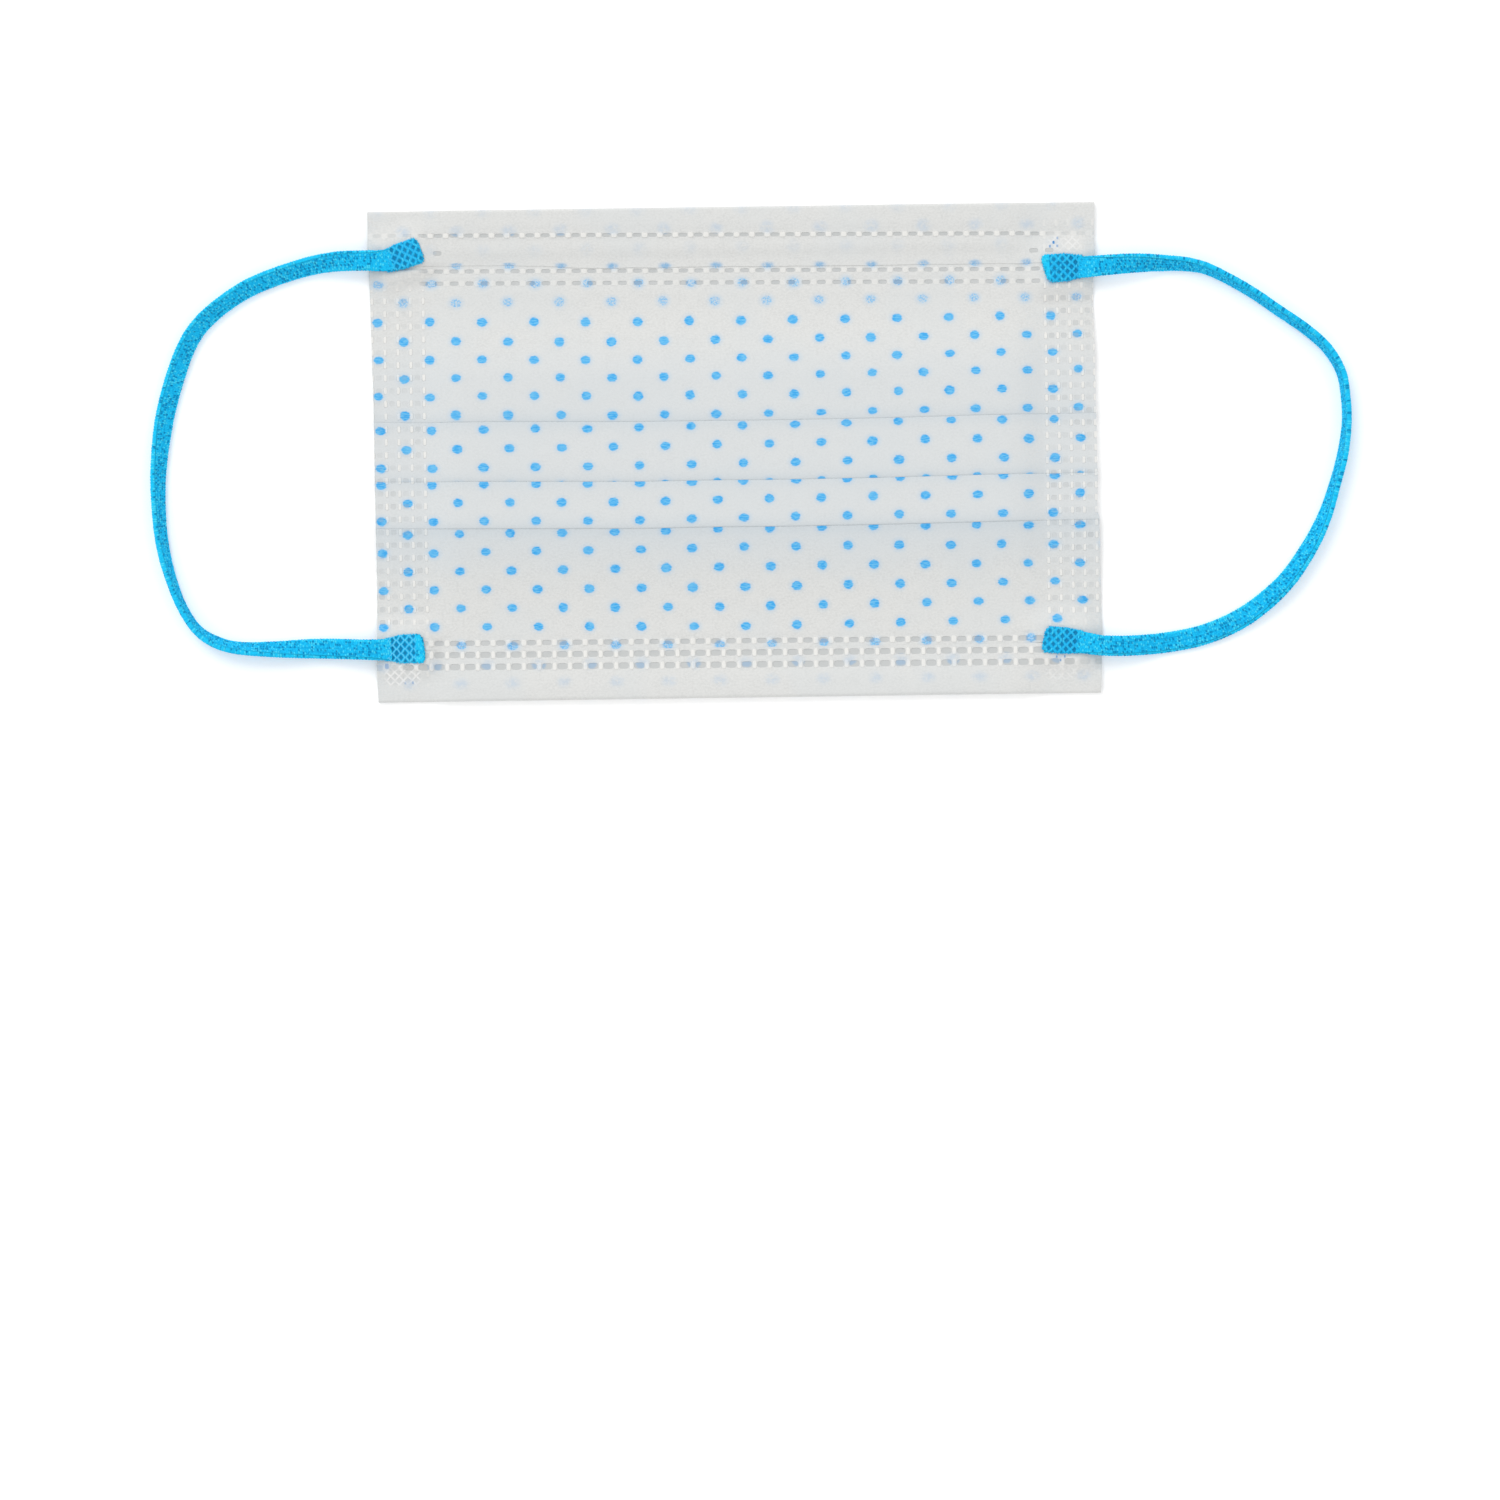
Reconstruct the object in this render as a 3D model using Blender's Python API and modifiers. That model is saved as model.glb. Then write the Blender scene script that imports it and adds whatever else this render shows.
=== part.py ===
"""Child's surgical face mask with three pleats and two elastic ear loops.

It lies flat with its printed side up. +X runs from ear to ear, +Y towards the nose edge, and +Z
is up from the surface that it lies on. The origin is under the middle of the pleated panel.
Lengths are in metres.
"""

import math
from collections import namedtuple

import bmesh
import bpy
from mathutils import Matrix, Vector

# The pleated panel, as it lies closed.
PANEL_LENGTH = 0.1450
PANEL_HEIGHT = 0.0977
WALL = 0.0010
LAYER_GAP = 0.0002

# The folds, as shares of the panel's height, measured from the nose edge.
RISE_START = 0.18
FIRST_INNER_FOLD = 0.341
OUTER_FOLDS = (0.434, 0.556, 0.652)
PASSAGE_SLACK = 1.02

# The side seams, where the layers are welded together and pressed thinner.
SEAM_WIDTH = 0.0105
SEAM_EASE = 0.0060
SEAM_PRESS = 0.70
SEAM_SETBACK = 0.0006

# The inner ply is turned over both long edges as a hem. The nose channel is a swelling in the top
# one, over this share of its length.
HEM_WALL = 0.0010
NOSE_HEM_DEPTH = 0.0112
CHIN_HEM_DEPTH = 0.0100
CHANNEL_START = 0.0052
CHANNEL_WIDTH = 0.0044
CHANNEL_RISE = 0.0005
CHANNEL_SHARE = 0.80

# The flat knitted elastic of the ear loops, and its ends, which are pressed flat and welded down.
STRAP_WIDTH = 0.0041
STRAP_THICKNESS = 0.0012
STRAP_ROUNDING = 0.00035
LEFT_REACH = 0.0432
RIGHT_REACH = 0.0499
PAD_LENGTH = 0.0078
PAD_WIDTH = 0.0058
PAD_THICKNESS = 0.0007
PAD_FLARE = 0.0020
PAD_CORNER = 0.0006
PAD_EDGE = 0.00015
PAD_LEAD = 0.0013  # the elastic leaves a pad straight over this length

# Neighbouring pieces keep this gap, and the elastic this height over the surface.
PIECE_GAP = 0.0003
REST_GAP = 0.00005

FOLD_STEPS = 8
PASSAGE_STEPS = 4
RISE_STEPS = 8
STRAP_STEPS = 64

# Each pad: its side (-1 left), how far its middle is in from the side edge, its height as a share
# of half the panel's height, and how far it tilts up towards its inner end, in degrees.
Pad = namedtuple("Pad", "side inset height tilt")
PADS = {
    "left_upper": Pad(-1, 0.0070, 0.825, 13),
    "left_lower": Pad(-1, 0.0060, -0.786, 1),
    "right_upper": Pad(1, 0.0062, 0.735, -3),
    "right_lower": Pad(1, 0.0076, -0.789, 5),
}

# The route of each loop from its upper pad to its lower one: out from the side edge as a share of
# the loop's reach, height as a share of half the panel's height, how far the elastic is rolled on
# to its edge in degrees, and how far it has come down, from 0 on the mask to 1 on the surface.
Stop = namedtuple("Stop", "out height roll down")
LEFT_ROUTE = (
    Stop(0.020, 0.806, 0, 0.0),
    Stop(0.169, 0.804, 0, 0.5),
    Stop(0.320, 0.779, 0, 1.0),
    Stop(0.525, 0.718, 0, 1.0),
    Stop(0.658, 0.644, 4, 1.0),
    Stop(0.770, 0.556, 8, 1.0),
    Stop(0.846, 0.466, 12, 1.0),
    Stop(0.916, 0.334, 20, 1.0),
    Stop(0.968, 0.153, 35, 1.0),
    Stop(0.997, -0.056, 50, 1.0),
    Stop(0.988, -0.240, 57, 1.0),
    Stop(0.966, -0.372, 63, 1.0),
    Stop(0.930, -0.500, 69, 1.0),
    Stop(0.881, -0.606, 72, 1.0),
    Stop(0.820, -0.690, 70, 1.0),
    Stop(0.740, -0.745, 65, 1.0),
    Stop(0.637, -0.769, 59, 1.0),
    Stop(0.474, -0.777, 46, 1.0),
    Stop(0.253, -0.782, 18, 0.85),
    Stop(0.046, -0.787, 0, 0.0),
)
RIGHT_ROUTE = (
    Stop(0.014, 0.743, 0, 0.0),
    Stop(0.158, 0.752, 25, 0.5),
    Stop(0.274, 0.754, 44, 1.0),
    Stop(0.376, 0.745, 56, 1.0),
    Stop(0.466, 0.715, 61, 1.0),
    Stop(0.605, 0.631, 66, 1.0),
    Stop(0.732, 0.547, 66, 1.0),
    Stop(0.843, 0.468, 65, 1.0),
    Stop(0.926, 0.385, 65, 1.0),
    Stop(0.977, 0.290, 69, 1.0),
    Stop(0.998, 0.187, 76, 1.0),
    Stop(0.997, 0.083, 78, 1.0),
    Stop(0.979, -0.046, 73, 1.0),
    Stop(0.946, -0.176, 67, 1.0),
    Stop(0.899, -0.295, 60, 1.0),
    Stop(0.833, -0.408, 52, 1.0),
    Stop(0.741, -0.534, 41, 1.0),
    Stop(0.640, -0.629, 28, 1.0),
    Stop(0.535, -0.699, 13, 1.0),
    Stop(0.406, -0.757, 3, 1.0),
    Stop(0.265, -0.797, 0, 1.0),
    Stop(0.124, -0.812, 0, 0.4),
    Stop(0.016, -0.806, 0, 0.0),
)

# The stops at each end of a loop, from its pad's outer end: the first only sets the direction.
PAD_LEADS = (-PAD_LEAD, 0.0, PAD_LEAD)
SIDE_X = PANEL_LENGTH / 2
NOSE_Y = PANEL_HEIGHT / 2
PITCH = WALL + LAYER_GAP
TURN_RADIUS = PITCH / 2
PASSAGE_RADIUS = PITCH * 1.5
LEVEL = [WALL / 2 + PITCH * layer for layer in range(3)]
HEM_LEVEL = WALL + PIECE_GAP + HEM_WALL / 2
HEM_TOP = HEM_LEVEL + HEM_WALL / 2


def clear_scene():
    for obj in list(bpy.data.objects):
        bpy.data.objects.remove(obj, do_unlink=True)


def new_collection(name, hidden=False):
    collection = bpy.data.collections.new(name)
    bpy.context.scene.collection.children.link(collection)
    collection.hide_render = hidden
    return collection


def new_material(name, colour, roughness):
    material = bpy.data.materials.new(name)
    material.use_nodes = True
    shader = material.node_tree.nodes["Principled BSDF"]
    shader.inputs["Base Color"].default_value = (*colour, 1.0)
    shader.inputs["Roughness"].default_value = roughness
    shader.inputs["Metallic"].default_value = 0.0
    return material


def new_object(name, data, collection, material=None):
    obj = bpy.data.objects.new(name, data)
    collection.objects.link(obj)
    if material:
        data.materials.append(material)
    return obj


def as_guide(obj):
    obj.hide_render = True
    obj.display_type = "WIRE"
    return obj


def evaluated_mesh(obj):
    """A copy of the object's mesh with its modifiers applied. The object is removed."""
    graph = bpy.context.evaluated_depsgraph_get()
    mesh = bpy.data.meshes.new_from_object(obj.evaluated_get(graph))
    bpy.data.objects.remove(obj, do_unlink=True)
    return mesh


def arc(centre, radius, start, stop, steps):
    """Points on an arc in the panel's section, angles in degrees from +Y towards +Z."""
    angles = [math.radians(start + (stop - start) * i / steps) for i in range(steps + 1)]
    return [(centre[0] + radius * math.cos(a), centre[1] + radius * math.sin(a)) for a in angles]


def outer_turn(fold):
    """The middle of an outer fold's turn, whose outer face is at that share of the height."""
    return (NOSE_Y - fold * PANEL_HEIGHT + TURN_RADIUS + WALL / 2, LEVEL[1] + TURN_RADIUS)


def inner_turn_after(outer):
    """The middle of the inner fold that lies just below an outer fold, clear of the sheet between."""
    apart = PASSAGE_SLACK * math.sqrt((2 * PASSAGE_RADIUS) ** 2 - PITCH**2)
    return (outer[0] - apart, LEVEL[0] + TURN_RADIUS)


def fold_turns():
    """The (inner, outer) turns of each pleat, from the nose edge down."""
    outers = [outer_turn(fold) for fold in OUTER_FOLDS]
    first_y = NOSE_Y - FIRST_INNER_FOLD * PANEL_HEIGHT - TURN_RADIUS - WALL / 2
    inners = [(first_y, LEVEL[0] + TURN_RADIUS)]
    inners += [inner_turn_after(outer) for outer in outers[:-1]]
    return list(zip(inners, outers))


def panel_section(hem_room):
    """The middle line of the folded sheet in (y, z), from the nose edge to the chin edge."""
    turns = fold_turns()
    rise_top = turns[0][0][0]
    rise_foot = NOSE_Y - RISE_START * PANEL_HEIGHT
    points = [(NOSE_Y - hem_room, LEVEL[0])]
    for i in range(RISE_STEPS + 1):
        share = i / RISE_STEPS
        height = (1 - math.cos(math.pi * share)) / 2
        points.append((rise_foot + (rise_top - rise_foot) * share, LEVEL[0] + 2 * PITCH * height))
    for k, (inner, outer) in enumerate(turns):
        points += arc(outer, TURN_RADIUS, 90, 270, FOLD_STEPS)
        points += arc(inner, TURN_RADIUS, 90, -90, FOLD_STEPS)
        if k + 1 < len(turns):
            points += passage(outer, turns[k + 1][0])
    points.append((hem_room - NOSE_Y, LEVEL[0]))
    return points


def passage(outer, inner):
    """The sheet's way from under one pleat's outer fold up and over the next pleat's inner fold."""
    across, drop = inner[0] - outer[0], inner[1] - outer[1]
    apart = math.hypot(across, drop)
    lean = math.degrees(math.acos(2 * PASSAGE_RADIUS / apart))
    towards = math.degrees(math.atan2(drop, across)) % 360
    under = arc(outer, PASSAGE_RADIUS, 270, towards + lean, PASSAGE_STEPS)
    over = arc(inner, PASSAGE_RADIUS, towards + lean - 180, 90, PASSAGE_STEPS)
    return under + over


def folded_sheet(name, section, wall, stations, height_at, collection, material):
    """A sheet that follows a (y, z) section along X. height_at then sets each point's height."""
    bm = bmesh.new()
    row = [bm.verts.new((stations[0], y, z)) for y, z in section]
    edges = [bm.edges.new(pair) for pair in zip(row, row[1:])]
    for x, next_x in zip(stations, stations[1:]):
        made = bmesh.ops.extrude_edge_only(bm, edges=edges)["geom"]
        bmesh.ops.translate(
            bm, verts=[v for v in made if isinstance(v, bmesh.types.BMVert)], vec=(next_x - x, 0, 0)
        )
        edges = [e for e in made if isinstance(e, bmesh.types.BMEdge)]
    mesh = bpy.data.meshes.new(name)
    bm.to_mesh(mesh)
    bm.free()
    blank = new_object(name, mesh, collection)
    solidify = blank.modifiers.new("wall", "SOLIDIFY")
    solidify.thickness = wall
    solidify.offset = 0
    solidify.use_even_offset = True
    mesh = evaluated_mesh(blank)
    for vertex in mesh.vertices:
        vertex.co.z = height_at(*vertex.co)
    obj = new_object(name, mesh, collection, material)
    mesh.shade_smooth()
    mesh.set_sharp_from_angle(angle=math.radians(40))
    return obj


def ramp(value, start, end):
    """0 before start and 1 past end, straight between."""
    return min(1.0, max(0.0, (value - start) / (end - start)))


def mirrored(stations):
    return [-x for x in stations] + list(reversed(stations))


def outline_solid(name, outline, thickness, place, collection, material=None):
    """A flat outline made a solid, its thickness centred on its plane, then moved by place."""
    curve = bpy.data.curves.new(name, "CURVE")
    curve.dimensions = "2D"
    curve.fill_mode = "BOTH"
    curve.extrude = thickness / 2
    spline = curve.splines.new("POLY")
    spline.points.add(len(outline) - 1)
    spline.use_cyclic_u = True
    for point, (a, b) in zip(spline.points, outline):
        point.co = (a, b, 0, 1)
    mesh = evaluated_mesh(new_object(name, curve, collection))
    bpy.data.curves.remove(curve)
    bm = bmesh.new()
    bm.from_mesh(mesh)
    bmesh.ops.remove_doubles(bm, verts=bm.verts, dist=0.00001)
    bmesh.ops.transform(bm, matrix=place, verts=bm.verts)
    bmesh.ops.recalc_face_normals(bm, faces=bm.faces)
    bm.to_mesh(mesh)
    bm.free()
    return new_object(name, mesh, collection, material)


def seam_outline(hem_room):
    """The (y, z) outline of the weld that fills a side seam between the pressed layers."""
    inset = WALL * 0.15
    turns = fold_turns()
    full = SEAM_PRESS * (LEVEL[2] + WALL / 2) - inset
    notch = WALL * 1.1
    top = [(hem_room - NOSE_Y + inset, WALL), (turns[-1][1][0], WALL), (turns[-1][1][0], full)]
    for (inner, _), (_, outer) in zip(reversed(turns[1:]), reversed(turns[:-1])):
        top += [(inner[0], full), (inner[0], notch), (outer[0], notch), (outer[0], full)]
    top += [(turns[0][0][0], full), (NOSE_Y - RISE_START * PANEL_HEIGHT, WALL)]
    top += [(NOSE_Y - hem_room - inset, WALL)]
    return [(top[-1][0], inset), (top[0][0], inset)] + top


def make_panel(parts, cutters, material):
    hem_room = HEM_WALL + PIECE_GAP
    seam_in = SIDE_X - SEAM_WIDTH
    ease_in = seam_in - SEAM_EASE

    def pressed(x, y, z):
        return z * (1 - (1 - SEAM_PRESS) * ramp(abs(x), ease_in, seam_in))

    section = panel_section(hem_room)
    stations = mirrored([SIDE_X, seam_in, ease_in])
    panel = folded_sheet("pleated_panel", section, WALL, stations, pressed, parts, material)
    for side, name in ((-1, "left_seam_weld"), (1, "right_seam_weld")):
        middle = side * (SIDE_X - SEAM_SETBACK - (SEAM_WIDTH - SEAM_SETBACK) / 2)
        place = Matrix(((0, 0, 1, middle), (1, 0, 0, 0), (0, 1, 0, 0), (0, 0, 0, 1)))
        width = SEAM_WIDTH - SEAM_SETBACK
        weld = as_guide(outline_solid(name, seam_outline(hem_room), width, place, cutters))
        union = panel.modifiers.new(name, "BOOLEAN")
        union.operation = "UNION"
        union.solver = "EXACT"
        union.object = weld
    return panel


def make_hem(name, side, depth, rise, parts, material):
    """A hem comes up round its long edge and back over the panel. rise swells its channel."""
    turn = HEM_LEVEL / 2
    ease = CHANNEL_RISE * 2
    channel_end = CHANNEL_START + CHANNEL_WIDTH
    back = [(HEM_WALL / 2, 0.0), *arc((HEM_WALL / 2 + turn, HEM_LEVEL - turn), turn, 180, 90, 6)]
    swells = (CHANNEL_START, CHANNEL_START + ease, channel_end - ease, channel_end)
    back += [(at, HEM_LEVEL) for at in swells if rise]
    back.append((depth, HEM_LEVEL))
    channel_x = SIDE_X * CHANNEL_SHARE

    def swollen(x, y, z):
        across = NOSE_Y - abs(y)
        crown = ramp(across, *swells[:2]) * (1 - ramp(across, *swells[2:]))
        return z + rise * crown * (1 - ramp(abs(x), channel_x - ease, channel_x))

    section = [(side * (NOSE_Y - across), z) for across, z in back]
    stations = mirrored([SIDE_X, channel_x, channel_x - ease])
    return folded_sheet(name, section, HEM_WALL, stations, swollen, parts, material)


def pad_outline(side):
    """A pad's outline about its middle: as wide as the elastic where it joins, then flared."""
    half, wide, joined = PAD_LENGTH / 2, PAD_WIDTH / 2, STRAP_WIDTH / 2
    edge = [(-half, joined), (-half + PAD_FLARE, wide), (half - PAD_CORNER, wide)]
    edge += [(half, wide - PAD_CORNER)]
    outline = edge + [(x, -y) for x, y in reversed(edge)]
    return [(-side * x, y) for x, y in outline]


def pad_middle(pad):
    height = HEM_TOP + PIECE_GAP + PAD_THICKNESS / 2
    return Vector((pad.side * (SIDE_X - pad.inset), pad.height * NOSE_Y, height))


def pad_outward(pad):
    """The way that the elastic leaves a pad, level and away from the panel."""
    tilt = math.radians(pad.tilt)
    return Vector((pad.side * math.cos(tilt), -math.sin(tilt), 0))


def make_pad(name, pad, parts, material):
    tilt = Matrix.Rotation(math.radians(-pad.side * pad.tilt), 4, "Z")
    place = Matrix.Translation(pad_middle(pad)) @ tilt
    obj = outline_solid(name, pad_outline(pad.side), PAD_THICKNESS, place, parts, material)
    bevel = obj.modifiers.new("pressed_edge", "BEVEL")
    bevel.width = PAD_EDGE
    bevel.segments = 1
    bevel.limit_method = "ANGLE"
    return obj


def catmull_rom(before, start, end, after, share):
    """A value on the smooth curve through four values in a row, between the middle two."""
    along = (end - before) * share + (2 * before - 5 * start + 4 * end - after) * share**2
    return start + (along + (3 * start - before - 3 * end + after) * share**3) / 2


def loop_stops(side, reach, route, upper, lower):
    """The loop's own points as (x, y, roll, down), from one pad's outer end to the other's."""
    start = PAD_LENGTH / 2 + PIECE_GAP
    first, last = [
        [(*(pad_middle(pad) + pad_outward(pad) * (start + lead)).xy, 0, 0) for lead in PAD_LEADS]
        for pad in (upper, lower)
    ]
    stops = [(side * (SIDE_X + s.out * reach), s.height * NOSE_Y, s.roll, s.down) for s in route]
    return [*first, *stops, *reversed(last)]


def loop_path(stops):
    """Even points (x, y, z, roll in radians) from the loop's second stop to its last but one."""
    fine = []
    per_stop = 16
    for four in zip(stops, stops[1:], stops[2:], stops[3:]):
        for i in range(per_stop):
            fine.append([catmull_rom(*values, i / per_stop) for values in zip(*four)])
    fine.append(list(stops[-2]))
    along = [0.0]
    for a, b in zip(fine, fine[1:]):
        along.append(along[-1] + math.dist(a[:2], b[:2]))
    path = []
    at = 0
    for i in range(STRAP_STEPS + 1):
        target = along[-1] * i / STRAP_STEPS
        while at < len(along) - 2 and along[at + 1] < target:
            at += 1
        share = (target - along[at]) / (along[at + 1] - along[at])
        x, y, roll, down = [p + (q - p) * share for p, q in zip(fine[at], fine[at + 1])]
        roll = math.radians(roll)
        path.append((x, y, strap_height(roll, min(1.0, max(0.0, down))), roll))
    return path


def strap_height(roll, down):
    """The height of the elastic's middle, between lying on the hem and lying on the surface."""
    lying = REST_GAP + (abs(math.sin(roll)) * STRAP_WIDTH + math.cos(roll) * STRAP_THICKNESS) / 2
    return lying + (1 - down) * (HEM_TOP + PIECE_GAP - REST_GAP)


def strap_profile(cutters):
    """The elastic's section, flat with rounded corners, which a loop's curve sweeps along."""
    half, thin, corner = STRAP_WIDTH / 2, STRAP_THICKNESS / 2, STRAP_ROUNDING
    quarter = [(half, thin - corner), (half - corner, thin)]
    ring = quarter + [(-x, y) for x, y in reversed(quarter)]
    ring += [(-x, -y) for x, y in ring]
    curve = bpy.data.curves.new("strap_profile", "CURVE")
    curve.dimensions = "2D"
    spline = curve.splines.new("POLY")
    spline.points.add(len(ring) - 1)
    spline.use_cyclic_u = True
    for point, (x, y) in zip(spline.points, reversed(ring)):
        point.co = (x, y, 0, 1)
    return as_guide(new_object("strap_profile", curve, cutters))


def make_loop(name, side, path, profile, parts, material):
    curve = bpy.data.curves.new(name, "CURVE")
    curve.dimensions = "3D"
    curve.twist_mode = "Z_UP"
    curve.bevel_mode = "OBJECT"
    curve.bevel_object = profile
    curve.use_fill_caps = True
    spline = curve.splines.new("POLY")
    spline.points.add(len(path) - 1)
    for point, (x, y, z, roll) in zip(spline.points, path):
        point.co = (x, y, z, 1)
        point.tilt = side * roll
    return new_object(name, curve, parts, material)


def main():
    clear_scene()
    parts = new_collection("surgical_face_mask")
    cutters = new_collection("cutters", hidden=True)
    printed = new_material("printed_fabric", (0.80, 0.82, 0.81), 0.9)
    white = new_material("white_fabric", (0.84, 0.85, 0.84), 0.9)
    elastic = new_material("blue_elastic", (0.02, 0.42, 0.80), 0.75)
    pressed = new_material("pressed_elastic", (0.01, 0.30, 0.62), 0.5)
    make_panel(parts, cutters, printed)
    make_hem("top_hem", 1, NOSE_HEM_DEPTH, CHANNEL_RISE, parts, white)
    make_hem("bottom_hem", -1, CHIN_HEM_DEPTH, 0.0, parts, white)
    for place, pad in PADS.items():
        make_pad("weld_pad_" + place, pad, parts, pressed)
    profile = strap_profile(cutters)
    loops = {"left": (-1, LEFT_REACH, LEFT_ROUTE), "right": (1, RIGHT_REACH, RIGHT_ROUTE)}
    for name, (side, reach, route) in loops.items():
        ends = (PADS[name + "_upper"], PADS[name + "_lower"])
        path = loop_path(loop_stops(side, reach, route, *ends))
        make_loop("ear_loop_" + name, side, path, profile, parts, elastic)


main()
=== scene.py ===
"""A child's surgical face mask, lying flat with its printed side up.

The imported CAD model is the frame. Two plies of cloth, two hems, four pressed pads and two knitted
ear loops stand for its soft nodes. Shapes are worked out in millimetres and stored in metres.
"""
import math

import bmesh
import bpy
from mathutils import Matrix, Vector, noise


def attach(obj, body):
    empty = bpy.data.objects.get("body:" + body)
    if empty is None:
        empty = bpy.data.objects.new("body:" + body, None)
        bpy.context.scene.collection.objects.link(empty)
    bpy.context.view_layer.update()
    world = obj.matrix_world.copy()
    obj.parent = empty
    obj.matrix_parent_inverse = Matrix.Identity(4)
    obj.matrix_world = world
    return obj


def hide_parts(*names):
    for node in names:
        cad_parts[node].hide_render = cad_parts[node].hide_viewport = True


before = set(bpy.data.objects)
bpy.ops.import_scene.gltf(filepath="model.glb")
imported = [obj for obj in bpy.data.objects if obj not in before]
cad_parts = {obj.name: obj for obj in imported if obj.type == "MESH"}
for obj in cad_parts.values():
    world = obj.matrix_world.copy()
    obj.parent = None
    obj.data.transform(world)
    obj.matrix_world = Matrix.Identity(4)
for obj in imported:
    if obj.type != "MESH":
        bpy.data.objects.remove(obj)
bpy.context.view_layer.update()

# The view: a camera straight above a 300 mm square, turned a little, with the mask in its upper
# half. The floor is a plain pale table and the light a soft studio light from the far left.
MM = 0.001
VIEW_MIDDLE = (0.00202, -0.05958)
VIEW_HEIGHT = 1.0025
VIEW_TURN = -0.8
SKY_STRENGTH = 0.90
LIGHT_STRENGTH = 0.86
LIGHT_WIDE = 34
LIGHT_TURN = (-38, -30, 0)
TABLE_HALF = 3.0
TABLE_WHITE = 0.98
TABLE_GLOW = 0.12


def placed(name, data):
    """A new object in the scene."""
    made = bpy.data.objects.new(name, data)
    bpy.context.scene.collection.objects.link(made)
    return made


camera_data = bpy.data.cameras.new("view")
camera_data.lens = 120
camera_data.sensor_width = 36
camera_data.clip_start = 0.01
camera_data.clip_end = 20
camera = placed("view", camera_data)
camera.location = (*VIEW_MIDDLE, VIEW_HEIGHT)
camera.rotation_euler = (0, 0, math.radians(VIEW_TURN))
bpy.context.scene.camera = camera
bpy.context.scene.view_settings.view_transform = "Standard"

world = bpy.data.worlds.new("studio")
world.use_nodes = True
sky = world.node_tree.nodes["Background"]
sky.inputs["Color"].default_value = (1.0, 1.0, 1.0, 1.0)
sky.inputs["Strength"].default_value = SKY_STRENGTH
bpy.context.scene.world = world

soft_light = bpy.data.lights.new("soft_light", "SUN")
soft_light.energy = LIGHT_STRENGTH
soft_light.angle = math.radians(LIGHT_WIDE)
placed("soft_light", soft_light).rotation_euler = [math.radians(turn) for turn in LIGHT_TURN]

bm = bmesh.new()
bmesh.ops.create_grid(bm, x_segments=1, y_segments=1, size=TABLE_HALF)
table_mesh = bpy.data.meshes.new("table_top")
bm.to_mesh(table_mesh)
bm.free()
table_top = placed("table_top", table_mesh)
table_paint = bpy.data.materials.new("table_paint")
table_paint.use_nodes = True
table_shader = table_paint.node_tree.nodes["Principled BSDF"]
for socket, value in (
    ("Base Color", (TABLE_WHITE, TABLE_WHITE, TABLE_WHITE, 1.0)),
    ("Roughness", 0.9),
    ("Specular IOR Level", 0.0),
    ("Emission Color", (1.0, 1.0, 1.0, 1.0)),
    ("Emission Strength", TABLE_GLOW),
):
    table_shader.inputs[socket].default_value = value
table_mesh.materials.append(table_paint)

# The ear loops: flat knitted elastic, 4.0 mm wide, dyed bright blue. Each is one length that runs
# from its upper pad, off the side of the mask, round on the table and back on to its lower pad.
# On the table it is rolled on to its edge, as it dropped.
STRAP_WIDTH = 4.0
STRAP_THICK = 1.2
STRAP_RINGS = 744
STRAP_AROUND = 60
REST_GAP = 0.05
# How much higher the elastic is where it lies on the hem
ON_HEM = 2.55
# The knit's columns and stitches, the length of each end that is pressed, and how far it sinks
WALE, STITCH = 0.50, 0.52
PRESS_LONG, PRESS_SINK = 5.5, 0.57
PATH_PARTS = 62
# (x, y, roll in degrees, how far it has come down)
LOOP_STOPS = {
    "left": [
        (-66.8, 40.1, 0, 0), (-68.2, 39.7, 0, 0), (-69.6, 39.35, 0, 0), (-71.2, 39.25, 0, 0),
        (-73.8, 39.3, 4, 0), (-79.8, 39.2, 20, 0.5), (-86.3, 38.1, 34, 1), (-95.2, 35.1, 36, 1),
        (-101.1, 31.8, 40, 1), (-106.2, 27.6, 40, 1), (-109.4, 23.1, 36, 1),
        (-112.1, 16.3, 30, 1), (-114.4, 7.5, 34, 1), (-115.6, -2.7, 51, 1),
        (-115.5, -11.7, 61, 1), (-114.7, -18.3, 66, 1), (-113.1, -24.5, 74, 1),
        (-111.0, -29.8, 77, 1), (-108.2, -34.0, 74, 1), (-104.5, -36.5, 63, 1),
        (-100.0, -37.75, 59, 1), (-93.0, -38.1, 43, 1), (-83.4, -38.1, 12, 0.85),
        (-74.5, -38.45, 0, 0), (-72.0, -38.5, 0, 0), (-70.7, -38.5, 0, 0),
        (-69.3, -38.45, 0, 0), (-68.0, -38.4, 0, 0),
    ],
    "right": [
        (67.7, 36.0, 0, 0), (69.0, 36.05, 0, 0), (70.5, 36.1, 0, 0), (73.2, 36.25, 4, 0),
        (80.4, 36.7, 28, 0.5), (86.2, 36.7, 48, 1), (91.3, 36.3, 60, 1), (95.8, 35.0, 72, 1),
        (102.9, 31.1, 75, 1), (109.1, 26.8, 75, 1), (114.6, 22.9, 75, 1), (118.8, 18.9, 77, 1),
        (121.4, 14.2, 80, 1), (122.2, 9.1, 81, 1), (122.3, 4.1, 80, 1), (121.4, -2.2, 73, 1),
        (119.6, -8.6, 70, 1), (117.6, -14.5, 57, 1), (114.7, -20.3, 44, 1),
        (110.2, -26.8, 35, 1), (105.1, -31.6, 20, 1), (99.8, -35.1, 8, 1), (93.1, -37.8, 2, 1),
        (85.8, -39.2, 0, 1), (78.7, -39.75, 0, 0.4), (73.3, -39.7, 0, 0), (70.4, -39.3, 0, 0),
        (69.1, -39.05, 0, 0), (67.7, -38.8, 0, 0), (66.4, -38.65, 0, 0),
    ],
}


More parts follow.
